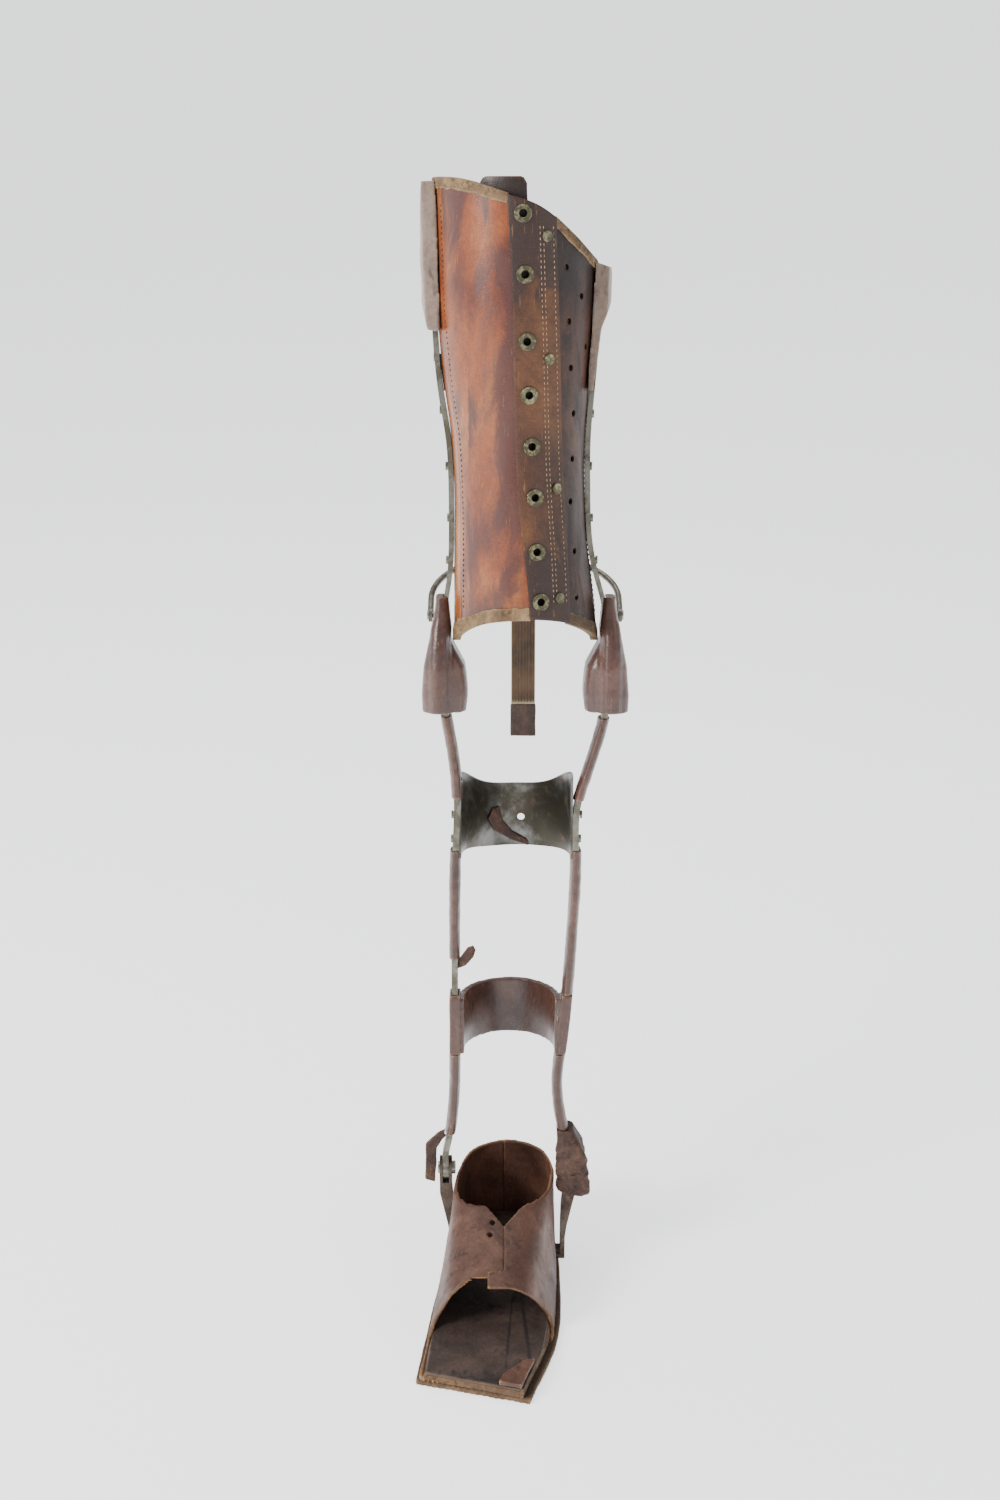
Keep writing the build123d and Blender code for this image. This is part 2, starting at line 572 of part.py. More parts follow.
ANKLE_WRAP = [  # height, middle outward from the bar's ankle plane, half width, half depth
    (37, -4.0, 7.0, 12.5), (22, 0.6, 10.5, 16), (2, 2.0, 13.0, 19), (-16, 3.0, 13.0, 19)]


def ankle_wrap(bar):
    """Leather hood over the medial ankle joint, open behind and below."""
    wall, middle = 2.2, ANKLE_X["medial"]
    outer, inner = [], []
    for height, out, half, depth in ANKLE_WRAP:
        outer.append(Pos(middle + out, 0, height) * RectangleRounded(2 * half, 2 * depth, 5.5))
        inner.append(Pos(middle + out, 15, height)
                     * RectangleRounded(2 * (half - wall), 2 * (depth - wall) + 30, 3.3))
    hood = loft(outer, ruled=True) - (loft(inner, ruled=True) & slab(-30, 34))
    return hood - bar - sleeve("medial", *SLEEVES["medial"]["lower"])


# ---------------------------------------------------------------- foot
def sole_face(inset=0.0):
    """The sole's outline, its curved edge moved inward."""
    heel = Spline(*SOLE_OUTLINE)
    points = []
    for x, y in SOLE_OUTLINE:
        along = heel % heel.param_at_point(Vector(x, y, 0))
        points.append((x + along.Y * inset, y - along.X * inset))
    edge = Spline(*points)
    return make_face([edge, Line(edge @ 1, edge @ 0)])


def sole_layer(inset, low, high):
    return Pos(0, 0, low) * extrude(sole_face(inset), amount=high - low, dir=(0, 0, 1))


def foot_solid(shrink=0.0):
    """Outer form of the foot leather, or the same form smaller by a thickness."""
    base = SOLE - (20 if shrink else 0)
    sections = []
    for y, middle, low_half, top_half, height, radius in FOOT:
        low_half, top_half, top = low_half - shrink, top_half - shrink, height - shrink
        corner = radius - shrink
        width = top_half - low_half
        low_half = low_half + width * (base - SOLE) / (height - SOLE)
        outline = FilletPolyline((middle - low_half, y, base), (middle - top_half, y, top),
                                 (middle + top_half, y, top), (middle + low_half, y, base),
                                 radius=corner)
        closing = Line(outline @ 1, outline @ 0)
        sections.append(make_face(outline.edges() + [closing]))
    return loft(sections, ruled=False)


def stirrup():
    """Steel bar under the foot with an arm and a fork on each side."""
    edge, reach = BAR_WIDTH / 2, STIRRUP_ARM[0][0] + 4
    shape = slab(SOLE, SOLE + CROSSBAR, -edge, edge, -reach, reach)
    for side in ("lateral", "medial"):
        sign, plane = OUTWARD[side], ANKLE_X[side]
        arm = prism_y([(sign * x, z) for x, z in STIRRUP_ARM], -edge, edge)
        block = slab(70, FORK_FLOOR, -edge, edge, plane - FORK_OUT, plane + FORK_OUT)
        cheeks = across(side, -FORK_OUT, FORK_OUT, 0, ANKLE_HEIGHT, FORK_RADIUS, plane)
        cheeks = cheeks + slab(75, ANKLE_HEIGHT, -edge, edge, plane - FORK_OUT, plane + FORK_OUT)
        cheeks = cheeks - slab(FORK_FLOOR, 120, -20, 20, plane - FORK_GAP, plane + FORK_GAP)
        shape = shape + arm + block + cheeks
        shape = shape - across(side, -20, 20, 0, ANKLE_HEIGHT, ANKLE_SCREW, plane)
    return shape & slab(SOLE, 200)


def ankle_screw(side):
    """Screw with its slotted head on the inner side of the fork."""
    sign, plane, head = OUTWARD[side], ANKLE_X[side], 3.0
    shaft = across(side, -FORK_OUT, FORK_OUT, 0, ANKLE_HEIGHT, ANKLE_SCREW, plane)
    nut = across(side, FORK_OUT, FORK_OUT + 1.5, 0, ANKLE_HEIGHT, ANKLE_NUT, plane)
    inner = across(side, -FORK_OUT - head, -FORK_OUT, 0, ANKLE_HEIGHT, ANKLE_SCREW_HEAD, plane)
    bottom, top = sorted((plane - sign * (FORK_OUT + 1.8), plane - sign * (FORK_OUT + 4)))
    slot = slab(ANKLE_HEIGHT - 0.7, ANKLE_HEIGHT + 0.7, -8, 8, bottom, top)
    return shaft + (inner - slot) + nut


def build_foot():
    steel = stirrup()
    save("ankle_stirrup", steel)
    save("ankle_pivot_screws", group(ankle_screw(side) for side in ANKLE_X))

    save("outsole", sole_layer(0, 0, SOLE))
    plate_low, plate_high = SOLE + CROSSBAR, SOLE + CROSSBAR + PLATE
    hollow = foot_solid(UPPER) & sole_layer(3 + UPPER, SOLE - 1, 130)
    inside = hollow & slab(SOLE, plate_high + INSOLE)
    toe = sole_layer(2.5, SOLE, plate_high + INSOLE) & slab(0, 50, -250, -130)
    inside = largest(inside + (toe - foot_solid()))
    plate = (sole_layer(9, plate_low, plate_high) & slab(0, 30, -125, 60)) & inside
    save("sole_plate", plate)
    save("midsole", largest((inside & slab(SOLE, plate_high)) - plate - steel))
    save("insole", largest(inside & slab(plate_high, plate_high + INSOLE)))

    shell = (foot_solid() & sole_layer(3, SOLE, 120)) - hollow
    rim = along_x([(-52, RIM + 3), (-20, RIM - 1), (20, RIM), (80, RIM + 2)],
                  [(80, 0), (-230, 0), (-230, RIM + 3)])
    notch = make_face(Polyline((-34, -24), (FLAP_EDGE, -66), (30, -24), (-34, -24)))
    notch = Pos(0, 0, 60) * extrude(notch, amount=60, dir=(0, 0, 1))
    shell = (shell & rim) - notch - steel

    lateral_zone = along_x(LATERAL_EDGE, [(90, 0), (90, 100)], x_high=FLAP_EDGE)
    medial_zone = along_x(MEDIAL_EDGE, [(90, 0), (90, 100)], x_low=TAB_EDGE)
    lateral = shell & lateral_zone
    medial = (shell & medial_zone) - lateral
    for x, y in FLAP_HOLES:
        lateral = lateral - Pos(x, y, 75) * Cylinder(FOOT_HOLE, 40)
    medial = medial - Pos(*TAB_HOLE, 70) * Cylinder(FOOT_HOLE, 40)
    medial = medial - slab(0, 120, -84, 90, -60, FLAP_EDGE)
    save("lateral_quarter", lateral)
    save("medial_quarter", medial)

    counter = sole_layer(1.2, SOLE, 58) - sole_layer(3, SOLE - 1, 60)
    counter = counter & slab(0, 60, 22, 90)
    save("heel_counter", counter)

    rivets = [Pos(x, 0, plate_high + INSOLE + 0.6) * Cylinder(4, 1.2) for x in RIVET_ROW]
    save("stirrup_rivets", group(rivets))
    zone = make_face(Polyline((-12, -200), (-4, -176), (12, -160), (40, -150), (40, -200),
                              (-12, -200)))
    fold = sole_layer(7, plate_high + INSOLE, plate_high + INSOLE + 4)
    save("folded_toe_flap", fold & extrude(zone, amount=60, dir=(0, 0, 1)))


# ---------------------------------------------------------------- build everything
build_corset()
build_thigh()
build_lock()
build_shank()
build_foot()
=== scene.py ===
"""Looks for the long leg brace: leather, suede, webbing and worn steel round the fixed CAD frame.

The numbers below are millimetres in the brace's upright frame: x to the medial side, y to the heel,
s the height above the ankle axis. upright() leans them back and turns them into metres.
"""
import math

import bmesh
import bpy
import numpy as np
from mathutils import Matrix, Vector, noise


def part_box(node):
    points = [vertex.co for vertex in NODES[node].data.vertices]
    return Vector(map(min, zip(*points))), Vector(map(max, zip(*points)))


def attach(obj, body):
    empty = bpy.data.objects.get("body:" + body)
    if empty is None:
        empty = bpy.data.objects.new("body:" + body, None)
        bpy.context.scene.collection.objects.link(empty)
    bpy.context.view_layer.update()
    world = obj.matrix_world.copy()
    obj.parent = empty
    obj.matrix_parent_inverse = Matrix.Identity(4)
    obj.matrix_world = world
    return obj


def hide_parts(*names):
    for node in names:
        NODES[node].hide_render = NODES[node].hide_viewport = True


MM = 0.001
LEAN = math.radians(8.0)
ANKLE_HEIGHT = 90.0
OUTWARD = {"lateral": -1, "medial": 1}
KNEE_X = {"lateral": -51.0, "medial": 78.5}

# the bail's cross rod, where the strap hangs
PAWL_Y, PAWL_S = 14.0, 466.0
BAIL_REACH, BAIL_RISE = 77.8, math.radians(25.9)
BAIL_Y = PAWL_Y + BAIL_REACH * math.cos(BAIL_RISE)
BAIL_S = PAWL_S + BAIL_REACH * math.sin(BAIL_RISE)
STRAP_WIDTH, STRAP_LENGTH, STRAP_END = 20.0, 150.0, 27.0

CAMERA_PLACE = (-0.0063, -1.5, 1.05)
CAMERA_PITCH = 21.3         # degrees below level
LIGHT_TARGET = (0, 0.03, 0.45)
FLOOR_REACH = 60.0

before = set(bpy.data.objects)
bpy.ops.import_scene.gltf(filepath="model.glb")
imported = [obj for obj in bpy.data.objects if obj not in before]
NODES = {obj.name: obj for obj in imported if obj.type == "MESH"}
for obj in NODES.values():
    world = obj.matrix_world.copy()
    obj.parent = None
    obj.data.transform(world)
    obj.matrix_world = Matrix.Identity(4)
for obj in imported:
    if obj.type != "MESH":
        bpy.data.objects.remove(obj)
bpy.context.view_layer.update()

# ---------------------------------------------------------------- corset dimensions
LEATHER, LINING, FACING, TONGUE, BINDING = 3.0, 1.2, 2.0, 2.2, 1.1
# height, lateral x, medial x, half depth
CORSET = [(436, -42.4, 70.6, 58), (475, -42.3, 68.0, 58), (500, -42.2, 65.0, 58),
          (530, -41.8, 61.1, 58), (569, -41.8, 58.9, 59), (610, -44.1, 59.2, 60),
          (650, -49.3, 62.1, 63), (700, -53.7, 65.5, 67), (750, -55.2, 67.3, 70),
          (785, -56.0, 68.8, 72), (815, -56.8, 69.8, 73.5)]
TOP_EDGE = [(-100, 799), (-40, 798.5), (-6, 789), (26, 777), (48.5, 758), (68, 739), (110, 729)]
LOW_EDGE = [(-100, 474), (-58, 473.5), (-52, 471), (-41, 466), (-29, 460.5), (-12, 453.3),
            (0, 448.5), (10, 453), (24, 467), (40, 478), (58, 484), (100, 486)]
FACING_LEFT = [(440, 18), (478, 16.4), (567, 7.1), (643, 4.0), (730, 2.4), (781, -0.5), (830, -1)]
FACING_RIGHT = [(440, 47), (482, 46), (520, 44), (580, 40), (676, 37.1), (754, 34.4), (830, 32)]
EYELETS = [(10.3, 773), (11.9, 730), (13.5, 682), (15.1, 643), (17.4, 605), (19.8, 567),
           (21.4, 526), (24.6, 488)]
LACE_HOLES = [(42.1, 735), (54.1, 714), (44.6, 696), (58.1, 677), (46.4, 662), (48.9, 628),
              (48.4, 594), (47.2, 562), (50.5, 524), (52.3, 489)]
EYELET_BARREL, LACE_HOLE, LINING_HOLE = 4.0, 2.5, 3.2
TOP_BINDING_DEPTH, LOW_BINDING_DEPTH = 8.0, 10.0
LATERAL_SEAM_Y, MEDIAL_SEAM_Y = -26.0, 6.0


# ---------------------------------------------------------------- geometry helpers
def upright(x, y, s):
    """Upright frame millimetres to the object's frame in metres; takes numbers or arrays."""
    return np.stack([np.asarray(x + 0 * s, float),
                     y * math.cos(LEAN) + s * math.sin(LEAN) + 0 * x,
                     ANKLE_HEIGHT + s * math.cos(LEAN) - y * math.sin(LEAN) + 0 * x], -1) * MM


def to_upright(points):
    """Metres in the object's frame back to upright millimetres (x, y, s)."""
    x, y, z = (np.asarray(points) / MM).T
    z = z - ANKLE_HEIGHT
    return np.stack([x, y * math.cos(LEAN) - z * math.sin(LEAN),
                     y * math.sin(LEAN) + z * math.cos(LEAN)], -1)


def through(points):
    """A smooth curve through (position, value) points, as a function of position."""
    at = np.array([p[0] for p in points], float)
    value = np.array([p[1] for p in points], float)
    slope = np.gradient(value, at)

    def curve(x):
        x = np.clip(x, at[0], at[-1])
        i = np.clip(np.searchsorted(at, x) - 1, 0, len(at) - 2)
        h = at[i + 1] - at[i]
        f = (x - at[i]) / h
        return ((2 * f**3 - 3 * f**2 + 1) * value[i] + (f**3 - 2 * f**2 + f) * h * slope[i]
                + (3 * f**2 - 2 * f**3) * value[i + 1] + (f**3 - f**2) * h * slope[i + 1])
    return curve


middle_at = through([(s, (a + b) / 2) for s, a, b, d in CORSET])
half_at = through([(s, (b - a) / 2) for s, a, b, d in CORSET])
depth_at = through([(s, d) for s, a, b, d in CORSET])
top_edge, low_edge = through(TOP_EDGE), through(LOW_EDGE)
facing_left, facing_right = through(FACING_LEFT), through(FACING_RIGHT)


def on_corset(turn, s, offset=0.0):
    """Point on the corset wall; turn is the angle from the front, negative on the lateral side."""
    x = middle_at(s) + (half_at(s) + offset) * np.sin(turn)
    y = -(depth_at(s) + offset) * np.cos(turn)
    return x, y


def turn_at_x(x, s):
    """Turn of the front of the wall at an x."""
    return np.arcsin(np.clip((x - middle_at(s)) / half_at(s), -1, 1))


def turn_at_y(y, s, side):
    """Turn of one side of the wall at a y."""
    return OUTWARD[side] * np.arccos(np.clip(-y / depth_at(s), -1, 1))


def ripple(points, size, seed=0.0):
    """Smooth noise from -1 to 1 at world points, its features about size millimetres wide."""
    shift = Vector((seed, 2 * seed, 3 * seed))
    step = 1 / (size * MM)
    return np.array([noise.noise(Vector(p) * step + shift) for p in np.asarray(points).reshape(-1, 3)])


def wall_grid(left, right, columns, rows, low_rise=0.0, top_drop=0.0):
    """Turn and height of a grid over part of the corset; left and right give turns at a height."""
    u = np.linspace(0, 1, columns)
    low, top = np.full(columns, 470.0), np.full(columns, 780.0)
    for _ in range(4):
        turn_low = left(low) + (right(low) - left(low)) * u
        turn_top = left(top) + (right(top) - left(top)) * u
        low = low_edge(on_corset(turn_low, low)[1]) + low_rise
        top = top_edge(on_corset(turn_top, top)[0]) - top_drop
    s = low + (top - low) * np.linspace(0, 1, rows)[:, None]
    return left(s) + (right(s) - left(s)) * u, s


def wall_points(turn, s, offset):
    """Points of the corset wall in the object's frame, in metres."""
    x, y = on_corset(turn, s, offset)
    return upright(x, y, s)


def mesh_from(name, points, faces):
    mesh = bpy.data.meshes.new(name)
    mesh.from_pydata([tuple(p) for p in points], [], [tuple(f) for f in faces])
    made = bmesh.new()
    made.from_mesh(mesh)
    bmesh.ops.recalc_face_normals(made, faces=made.faces)
    made.to_mesh(mesh)
    made.free()
    return mesh


def shell_mesh(name, outer, inner):
    """A closed mesh between two grids of points, rows by columns."""
    rows, columns = outer.shape[:2]
    count = rows * columns
    index = np.arange(count).reshape(rows, columns)
    a, b = index[:-1, :-1].ravel(), index[:-1, 1:].ravel()
    c, d = index[1:, 1:].ravel(), index[1:, :-1].ravel()
    faces = [np.stack([a, b, c, d], 1), np.stack([d, c, b, a], 1) + count]
    for line in (index[0], index[:, -1], index[-1][::-1], index[::-1, 0]):
        faces.append(np.stack([line[:-1], line[1:], line[1:] + count, line[:-1] + count], 1))
    points = np.concatenate([outer.reshape(-1, 3), inner.reshape(-1, 3)])
    return mesh_from(name, points, np.concatenate(faces).tolist())


def tube_mesh(name, rings):
    """A closed mesh through rings of points, capped at both ends."""
    rings = np.asarray(rings)
    count, around = rings.shape[:2]
    faces = []
    for i in range(count - 1):
        for j in range(around):
            k = (j + 1) % around
            faces.append((i * around + j, i * around + k, (i + 1) * around + k,
                          (i + 1) * around + j))
    faces.append(tuple(range(around)))
    faces.append(tuple(range((count - 1) * around, count * around)))
    return mesh_from(name, rings.reshape(-1, 3), faces)


def applied(mesh, *modifiers):
    """The mesh after (type, settings) modifiers."""
    work = bpy.data.objects.new("work", mesh)
    bpy.context.scene.collection.objects.link(work)
    for kind, settings in modifiers:
        modifier = work.modifiers.new(kind, kind)
        for key, value in settings.items():
            setattr(modifier, key, value)
    made = bpy.data.meshes.new_from_object(
        work.evaluated_get(bpy.context.evaluated_depsgraph_get()))
    bpy.data.objects.remove(work)
    return made


def softened(node, voxel=1.0, smooth=3):
    """A new, evenly divided mesh over a CAD node's shape, with its edges worn round."""
    source = NODES[node].data.copy()
    made = bmesh.new()
    made.from_mesh(source)
    bmesh.ops.remove_doubles(made, verts=made.verts, dist=0.01 * MM)
    made.to_mesh(source)
    made.free()
    return applied(source, ("REMESH", {"mode": "VOXEL", "voxel_size": voxel * MM}),
                   ("SMOOTH", {"factor": 0.5, "iterations": smooth}))


def points_of(mesh):
    flat = np.zeros(len(mesh.vertices) * 3)
    mesh.vertices.foreach_get("co", flat)
    return flat.reshape(-1, 3)


def normals_of(mesh):
    flat = np.zeros(len(mesh.vertices) * 3)
    mesh.vertices.foreach_get("normal", flat)
    return flat.reshape(-1, 3)


def set_points(mesh, points):
    mesh.vertices.foreach_set("co", np.asarray(points).ravel())
    mesh.update()


def rumple(mesh, size, height, seed=0.0, stretch=(1, 1, 1)):
    """Push the surface in and out by noise of a size and height in millimetres."""
    points = points_of(mesh)
    wave = ripple(points * np.array(stretch), size, seed)
    set_points(mesh, points + normals_of(mesh) * (wave * height * MM)[:, None])


def mark(mesh, name, values):
    if name in mesh.attributes:
        mesh.attributes.remove(mesh.attributes[name])
    layer = mesh.attributes.new(name, "FLOAT", "POINT")
    layer.data.foreach_set("value", np.asarray(values, np.float32))


def mark_wear(mesh, gain=2.2, rounds=2):
    """Writes how proud each vertex stands of its neighbours, 0 flat to 1 on an edge."""
    points, normals = points_of(mesh), normals_of(mesh)
    ends = np.zeros(len(mesh.edges) * 2, np.int32)
    mesh.edges.foreach_get("vertices", ends)
    a, b = ends.reshape(-1, 2).T
    length = np.linalg.norm(points[a] - points[b], axis=1) + 1e-9
    proud, count = np.zeros(len(points)), np.zeros(len(points))
    for p, q in ((a, b), (b, a)):
        np.add.at(proud, p, np.einsum("ij,ij->i", points[p] - points[q], normals[p]) / length)
        np.add.at(count, p, 1)
    proud = np.clip(gain * proud / np.maximum(count, 1), 0, 1)
    for _ in range(rounds):
        total = proud.copy()
        np.add.at(total, a, proud[b])
        np.add.at(total, b, proud[a])
        proud = total / (count + 1)
    mark(mesh, "wear", proud)


def worn_edges(mesh, width):
    """The mesh with its sharp edges rounded by a width in millimetres."""
    return applied(mesh, ("BEVEL", {"width": width * MM, "segments": 2, "limit_method": "ANGLE",
                                    "angle_limit": math.radians(50)}))


def cut(mesh, cutters):
    """The mesh with the cutter mesh taken away."""
    tool = bpy.data.objects.new("cutter", cutters)
    bpy.context.scene.collection.objects.link(tool)
    made = applied(mesh, ("BOOLEAN", {"operation": "DIFFERENCE", "object": tool,
                                      "solver": "EXACT"}))
    bpy.data.objects.remove(tool)
    return made


def drills(places, radius, offset, around=20, reach=12):
    """Cylinders through the corset's front wall at (x, s) places."""
    points, faces = [], []
    for x, s in places:
        turn = turn_at_x(x, s)
        middle = Vector(wall_points(turn, s, offset))
        out = (Vector(wall_points(turn, s, offset + 1)) - middle).normalized()
        side = out.cross(Vector((0, 0, 1))).normalized()
        rise = side.cross(out)
        start = len(points)
        for end in (-reach, reach):
            for k in range(around):
                angle = 2 * math.pi * k / around
                points.append(middle + (out * end + (side * math.cos(angle) + rise
                                                     * math.sin(angle)) * radius) * MM)
        for k in range(around):
            n = (k + 1) % around
            faces.append((start + k, start + n, start + around + n, start + around + k))
        faces.append(tuple(range(start, start + around)))
        faces.append(tuple(range(start + around, start + 2 * around)))
    return mesh_from("drills", points, faces)


def stitches(name, line, body, material, long=2.6, pitch=4.0, radius=0.36, lift=0.15):
    """Thread stitches along a line of (point, normal) pairs, in metres."""
    points = np.array([p for p, n in line])
    normals = np.array([n for p, n in line])
    run = np.concatenate([[0], np.cumsum(np.linalg.norm(np.diff(points, axis=0), axis=1))])
    at = np.arange(pitch / 2, run[-1] / MM - pitch / 2, pitch) * MM

    def sample(values, where):
        return np.stack([np.interp(where, run, values[:, i]) for i in range(3)], -1)

    rings_per, around = 5, 6
    verts, faces = [], []
    for where in at:
        middle, ahead = sample(points, where), sample(points, where + 0.5 * MM)
        along = Vector(ahead - middle).normalized()
        out = Vector(sample(normals, where)).normalized()
        side = along.cross(out).normalized()
        start = len(verts)
        for i in range(rings_per):
            f = -1 + 2 * i / (rings_per - 1)
            girth = radius * math.sqrt(max(0.05, 1 - f**4))
            centre = Vector(middle) + along * (f * long / 2 * MM) + out * (
                (lift - 0.5 * f * f) * MM)
            for j in range(around):
                angle = 2 * math.pi * j / around
                verts.append(centre + (out * math.cos(angle) + side * math.sin(angle))
                             * (girth * MM))
        for i in range(rings_per - 1):
            for j in range(around):
                k = (j + 1) % around
                faces.append((start + i * around + j, start + i * around + k,
                              start + (i + 1) * around + k, start + (i + 1) * around + j))
        faces.append(tuple(start + j for j in range(around)))
        faces.append(tuple(start + (rings_per - 1) * around + j for j in range(around)))
    return add(name, mesh_from(name, verts, faces), body, material)


def wall_line(turns, heights, offset):
    """(point, normal) pairs along the corset wall."""
    here, above = wall_points(turns, heights, offset), wall_points(turns, heights, offset + 1)
    return list(zip(here, (above - here) / MM))


def add(name, mesh, body, material, replaces=()):
    """A smooth-shaded piece that rides on a body and may take the place of CAD nodes."""
    mesh.materials.clear()
    mesh.materials.append(material)
    mesh.polygons.foreach_set("use_smooth", [True] * len(mesh.polygons))
    piece = bpy.data.objects.new(name, mesh)
    bpy.context.scene.collection.objects.link(piece)
    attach(piece, body)
    if replaces:
        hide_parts(*replaces)
    return piece


# ---------------------------------------------------------------- materials
def nodes_for(name):
    material = bpy.data.materials.new(name)
    material.use_nodes = True
    tree = material.node_tree
    return material, tree, tree.nodes["Principled BSDF"]


def texture_space(tree, turn=(0, 0, 0), scale=(1, 1, 1)):
    where = tree.nodes.new("ShaderNodeTexCoord")
    mapping = tree.nodes.new("ShaderNodeMapping")
    mapping.inputs["Rotation"].default_value = turn
    mapping.inputs["Scale"].default_value = scale
    tree.links.new(where.outputs["Object"], mapping.inputs["Vector"])
    return mapping.outputs["Vector"]


def noise_at(tree, vector, scale, detail=4.0, rough=0.55, distortion=0.0):
    node = tree.nodes.new("ShaderNodeTexNoise")
    node.inputs["Scale"].default_value = scale
    node.inputs["Detail"].default_value = detail
    node.inputs["Roughness"].default_value = rough
    node.inputs["Distortion"].default_value = distortion
    tree.links.new(vector, node.inputs["Vector"])
    return node.outputs["Fac"]


def ramp(tree, value, stops):
    node = tree.nodes.new("ShaderNodeValToRGB")
    band = node.color_ramp
    while len(band.elements) < len(stops):
        band.elements.new(0.5)
    for element, (at, colour) in zip(band.elements, stops):
        element.position = at
        element.color = (*colour, 1) if len(colour) == 3 else colour
    tree.links.new(value, node.inputs["Fac"])
    return node.outputs["Color"]


def grey(tree, value, low, high, to_low=0.0, to_high=1.0):
    node = tree.nodes.new("ShaderNodeMapRange")
    node.interpolation_type = "SMOOTHSTEP"
    for key, number in zip(("From Min", "From Max", "To Min", "To Max"),
                           (low, high, to_low, to_high)):
        node.inputs[key].default_value = number
    tree.links.new(value, node.inputs["Value"])
    return node.outputs["Result"]


def colour_mix(tree, factor, first, second, kind="MIX"):
    node = tree.nodes.new("ShaderNodeMixRGB")
    node.blend_type = kind
    tree.links.new(factor, node.inputs["Fac"])
    for key, source in (("Color1", first), ("Color2", second)):
        if isinstance(source, tuple):
            node.inputs[key].default_value = (*source, 1)
        else:
            tree.links.new(source, node.inputs[key])
    return node.outputs["Color"]


def painted(tree, name):
    node = tree.nodes.new("ShaderNodeAttribute")
    node.attribute_name = name
    return node.outputs["Fac"]


def bumped(tree, shader, heights, distance=0.2, strength=0.6):
    """Bumps from (height, share) pairs; distance is in millimetres."""
    total = None
    for height, share in heights:
        node = tree.nodes.new("ShaderNodeMath")
        node.operation = "MULTIPLY_ADD"
        tree.links.new(height, node.inputs[0])
        node.inputs[1].default_value = share
        if total is not None:
            tree.links.new(total, node.inputs[2])
        else:
            node.inputs[2].default_value = 0.0
        total = node.outputs[0]
    bump = tree.nodes.new("ShaderNodeBump")
    bump.inputs["Strength"].default_value = strength
    bump.inputs["Distance"].default_value = distance * MM
    tree.links.new(total, bump.inputs["Height"])
    tree.links.new(bump.outputs["Normal"], shader.inputs["Normal"])


def leather(name, dark, mid, light, stain_and_painted_shade, edge, rough=(0.3, 0.6), scale=26.0, grain=900.0,
            coat=0.0, sheen=0.0, diagonal=(0.0, 0.6, 0.0), stretch=(1.0, 1.0, 0.45), bump=0.35,
            stain_at=(0.55, 0.7), scratches=0.4):
    """Worn leather: blotched colour, stains, scratches, grain, and bare tan on its edges.

    The piece's "wear" attribute bares the edges, and its stain attribute deepens the stains and also
    paints the shade in the insole's slit and crease."""
    material, tree, shader = nodes_for(name)
    space = texture_space(tree, turn=diagonal, scale=stretch)
    plain = texture_space(tree)
    blotch = noise_at(tree, space, scale, detail=6, rough=0.6, distortion=0.6)
    colour = ramp(tree, blotch, [(0.3, dark), (0.5, mid), (0.72, light)])
    fine = noise_at(tree, plain, 320, detail=5, rough=0.7)
    colour = colour_mix(tree, grey(tree, fine, 0.3, 0.75, 0, 0.35), colour, dark, "MULTIPLY")
    spots = noise_at(tree, space, scale * 1.7, detail=8, rough=0.65, distortion=1.4)
    extra = tree.nodes.new("ShaderNodeMath")
    extra.operation = "MULTIPLY_ADD"
    tree.links.new(painted(tree, "stain_and_painted_shade"), extra.inputs[0])
    extra.inputs[1].default_value = 0.45
    tree.links.new(spots, extra.inputs[2])
    stained = grey(tree, extra.outputs[0], *stain_at, 0, 0.85)
    colour = colour_mix(tree, stained, colour, stain_and_painted_shade)
    lines = noise_at(tree, texture_space(tree, turn=(0.1, 0.5, 0.2), scale=(6.0, 6.0, 0.35)), 90,
                     detail=3, rough=0.6)
    marks = grey(tree, lines, 0.64, 0.72, 0, scratches)
    colour = colour_mix(tree, marks, colour, edge)
    bare = noise_at(tree, plain, 140, detail=4)
    worn = tree.nodes.new("ShaderNodeMath")
    worn.operation = "MULTIPLY"
    tree.links.new(grey(tree, painted(tree, "wear"), 0.12, 0.6), worn.inputs[0])
    tree.links.new(grey(tree, bare, 0.3, 0.55, 0.35, 1.0), worn.inputs[1])
    colour = colour_mix(tree, worn.outputs[0], colour, edge)
    tree.links.new(colour, shader.inputs["Base Color"])
    tree.links.new(grey(tree, spots, 0.25, 0.75, *rough), shader.inputs["Roughness"])
    pores = tree.nodes.new("ShaderNodeTexVoronoi")
    pores.inputs["Scale"].default_value = grain
    tree.links.new(plain, pores.inputs["Vector"])
    bumped(tree, shader, [(pores.outputs["Distance"], 0.5), (fine, 0.8), (blotch, 1.5),
                          (marks, -0.8)], distance=0.5, strength=bump)
    shader.inputs["Coat Weight"].default_value = coat
    shader.inputs["Coat Roughness"].default_value = 0.28
    shader.inputs["Sheen Weight"].default_value = sheen
    shader.inputs["Specular IOR Level"].default_value = 0.45
    return material


